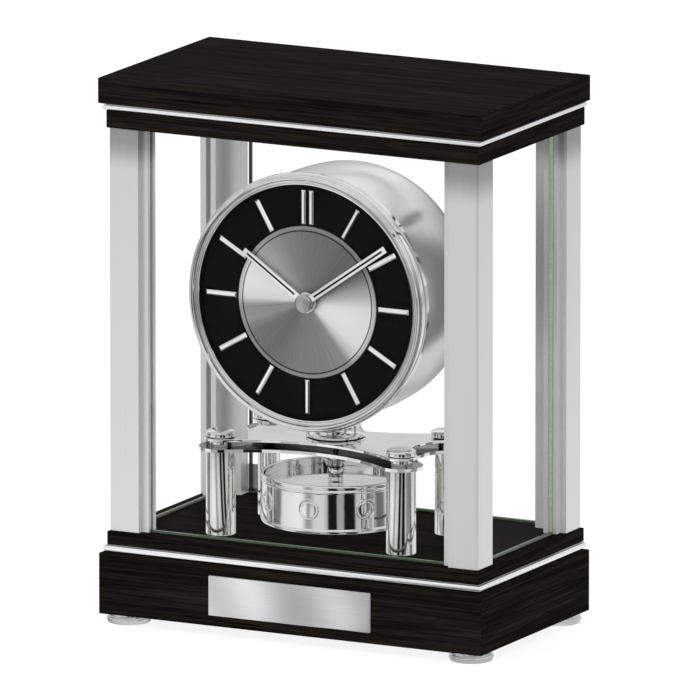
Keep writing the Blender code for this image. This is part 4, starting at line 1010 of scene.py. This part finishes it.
INLAY_HALF = 0.46                # half the width of the black line in a hand
INLAY_START = 6.0
INLAY_DEPTH = 0.12
INLAY_PROUD = 0.05               # how much of its depth stands out of the hand
INLAY_ROUND = 0.00003


def add_inlay(name, angle, end, front, body):
    """The black line let into a hand's blade."""
    low = Vector((-INLAY_HALF, INLAY_START, 0)) * MM
    mesh = box_between(name, low, Vector((INLAY_HALF, end, INLAY_DEPTH)) * MM)
    turn = Matrix.Rotation(-angle, 4, "Z")
    place = Vector((0, front + (INLAY_DEPTH - INLAY_PROUD) * MM, HEAD.z))
    mesh.transform(Matrix.Translation(place) @ TO_FRONT @ turn)
    soften(add_piece(name, mesh, INLAY, body, "polished_silver"), INLAY_ROUND, 1)


def dress_hands():
    for node in ("minute_hand", "hour_hand"):
        finish_node(node, BRIGHT, width=0.00018, limit=50)
    add_inlay("minute_hand_line", MINUTE_ANGLE, 46.0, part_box("minute_hand")[0].y, "minute_works")
    add_inlay("hour_hand_line", HOUR_ANGLE, 34.0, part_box("hour_hand")[0].y, "hour_works")
    low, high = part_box("centre_cap")
    radius = (high.x - low.x) / 2 / MM
    back, front = -high.y / MM, -low.y / MM
    cap = [(0, front), (1.2, front - 0.03), (2.4, front - 0.14), (3.2, front - 0.3), (3.7, front - 0.5)]
    cap += [(radius, front - 0.75), (radius, back), (0, back)]
    add_turned("domed_cap", cap, HEAD_AXIS, TO_FRONT, SMALL_STEPS, CAP_METAL,
               "minute_works", "polished_silver", "centre_cap")


def dress_movement():
    finish_node("minute_arbor", STEEL)
    for node in ("hour_wheel", "minute_wheel"):
        finish_node(node, WHITE_PLASTIC)
    for node in ("movement_front_plate", "movement_case"):
        finish_node(node, BLACK_PLASTIC, width=0.0004)
    finish_node("setting_knob", BLACK_PLASTIC, width=0.0001)
    finish_node("quartz_module", WHITE_PLASTIC, width=0.0003)
    low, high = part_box("battery")
    half = (high.x - low.x) / 2 / MM
    radius = (high.z - low.z) / 2 / MM
    cell = [(0, half), (2.3, half), (2.7, half - 0.3), (2.7, half - 1.0), (radius - 1.2, half - 1.0)]
    cell += [(radius - 0.9, half - 0.7), (radius - 0.4, half - 0.8), (radius, half - 1.3)]
    cell += [(radius, 0.6 - half), (radius - 0.2, 0.2 - half), (radius - 0.6, -half)]
    cell += [(radius - 1.6, -half), (radius - 1.8, 0.15 - half), (0, 0.15 - half)]
    add_turned("sleeved_cell", cell, middle("battery"), ALONG_X, MIDDLE_STEPS, SLEEVE,
               "cell", "cell_wrap", "battery")


# ---- Studio ----
CAMERA_AZIMUTH = math.radians(27.3)
CAMERA_ELEVATION = math.radians(11.9)
CAMERA_LENS = 1200.0             # a very long lens, for an almost parallel view
FRAME_WIDTH = 0.3017             # what the view takes in at the clock, from side to side
AIM_HEIGHT = 0.1198
AIM_RIGHT = 0.00252
FLOOR_HALF = 30.0
FLOOR_THICKNESS = 0.02
NEAR_FLOOR = 0.30                # mirrors show the floor brightest within this distance of the clock
FAR_FLOOR = 1.60
FAR_TONE = 0.62
SOFTBOX_SIZE = (0.9, 0.7)
SOFTBOX_ENERGY = 2.0
SOFTBOX_PLACE = Vector((-0.55, -0.75, 1.05))
SOFTBOX_AIM = Vector((0, 0, 0.12))


def mirrored_ray(made):
    """1 for what a polished surface mirrors, and 0 for what is seen straight or through glass."""
    path = made.node("ShaderNodeLightPath").outputs
    straight = made.maths("SUBTRACT", 1.0, path["Is Transmission Ray"])
    return made.maths("MULTIPLY", path["Is Glossy Ray"], straight)


def make_floor():
    """A pale floor, white to look at. Mirrors see it fade with distance, with the studio's tones on it."""
    low = (-FLOOR_HALF, -FLOOR_HALF, -FLOOR_THICKNESS)
    mesh = box_between("floor", low, (FLOOR_HALF, FLOOR_HALF, 0.0))
    floor = bpy.data.objects.new("floor", mesh)
    bpy.context.scene.collection.objects.link(floor)
    material, made, shader = new_finish(
        "pale_floor", Base_Color=(0.22, 0.22, 0.22, 1), Roughness=0.9, Specular_IOR_Level=0.0,
        Emission_Color=(1, 1, 1, 1), Emission_Strength=0.88,
    )
    place = made.place()
    tone = made.node("ShaderNodeGroup", node_tree=STUDIO, in_Direction=place).outputs["Tone"]
    fade = made.span(made.vector_maths("LENGTH", place), 1.0, FAR_TONE, NEAR_FLOOR, FAR_FLOOR)
    glow = made.node("ShaderNodeEmission", in_Strength=made.maths("MULTIPLY", tone, fade))
    choice = made.node("ShaderNodeMixShader", in_Fac=mirrored_ray(made))
    made.join(shader.outputs[0], choice.inputs[1])
    made.join(glow.outputs[0], choice.inputs[2])
    made.join(choice.outputs[0], material.node_tree.nodes["Material Output"].inputs["Surface"])
    mesh.materials.append(material)


def make_surroundings():
    """White to look at, even light on matt surfaces, and the studio's tones in what mirrors."""
    world = bpy.data.worlds.new("studio")
    bpy.context.scene.world = world
    world.use_nodes = True
    made = Finish(world.node_tree)
    backdrop = world.node_tree.nodes["Background"]
    place = made.place("Generated")
    tone = made.node("ShaderNodeGroup", node_tree=STUDIO, in_Direction=place).outputs["Tone"]
    height = made.parts(place)["Z"]
    overhead = made.ramp(made.maths("MAXIMUM", height, 0.0), [
        (0.0, 0.45), (0.16, 0.55), (0.30, 0.85), (0.55, 0.95), (0.80, 0.70), (1.0, 0.9),
    ])
    raised = made.maths("MULTIPLY", height, 5.0, True)
    studio = made.blend(raised, tone, overhead)
    path = made.node("ShaderNodeLightPath").outputs
    seen = made.maths("MAXIMUM", path["Is Camera Ray"], path["Is Transmission Ray"])
    plain = made.blend(seen, grey(0.80), grey(1.02))
    made.join(made.blend(mirrored_ray(made), plain, studio), backdrop.inputs["Color"])


def make_softbox():
    """One large soft light from the upper left front, which shapes the matt surfaces."""
    light = bpy.data.lights.new("softbox", "AREA")
    light.shape = "RECTANGLE"
    light.size, light.size_y = SOFTBOX_SIZE
    light.energy = SOFTBOX_ENERGY
    lamp = bpy.data.objects.new("softbox", light)
    bpy.context.scene.collection.objects.link(lamp)
    lamp.location = SOFTBOX_PLACE
    lamp.rotation_euler = (SOFTBOX_AIM - SOFTBOX_PLACE).to_track_quat("-Z", "Y").to_euler()
    lamp.visible_glossy = False
    lamp.visible_camera = False


def make_camera():
    settings = bpy.data.cameras.new("camera")
    settings.lens = CAMERA_LENS
    settings.clip_end = 100.0
    camera = bpy.data.objects.new("camera", settings)
    bpy.context.scene.collection.objects.link(camera)
    distance = FRAME_WIDTH * settings.lens / settings.sensor_width
    flat = math.cos(CAMERA_ELEVATION)
    ahead = Vector((math.sin(CAMERA_AZIMUTH), -math.cos(CAMERA_AZIMUTH), 0))
    towards = ahead * flat + Vector((0, 0, math.sin(CAMERA_ELEVATION)))
    right = Vector((math.cos(CAMERA_AZIMUTH), math.sin(CAMERA_AZIMUTH), 0))
    aim = Vector((0, 0, AIM_HEIGHT)) + right * AIM_RIGHT
    camera.location = aim + towards * distance
    camera.rotation_euler = (-towards).to_track_quat("-Z", "Y").to_euler()
    bpy.context.scene.camera = camera
    bpy.context.scene.view_settings.view_transform = "Standard"


dress_boards()
dress_posts()
make_feet()
dress_panes()
dress_name_plate()
dress_door()
make_pillars()
dress_plates()
make_pedestal()
make_drum()
make_dimples()
make_bezel()
make_case()
make_dial()
dress_hands()
dress_movement()
make_floor()
make_surroundings()
make_softbox()
make_camera()
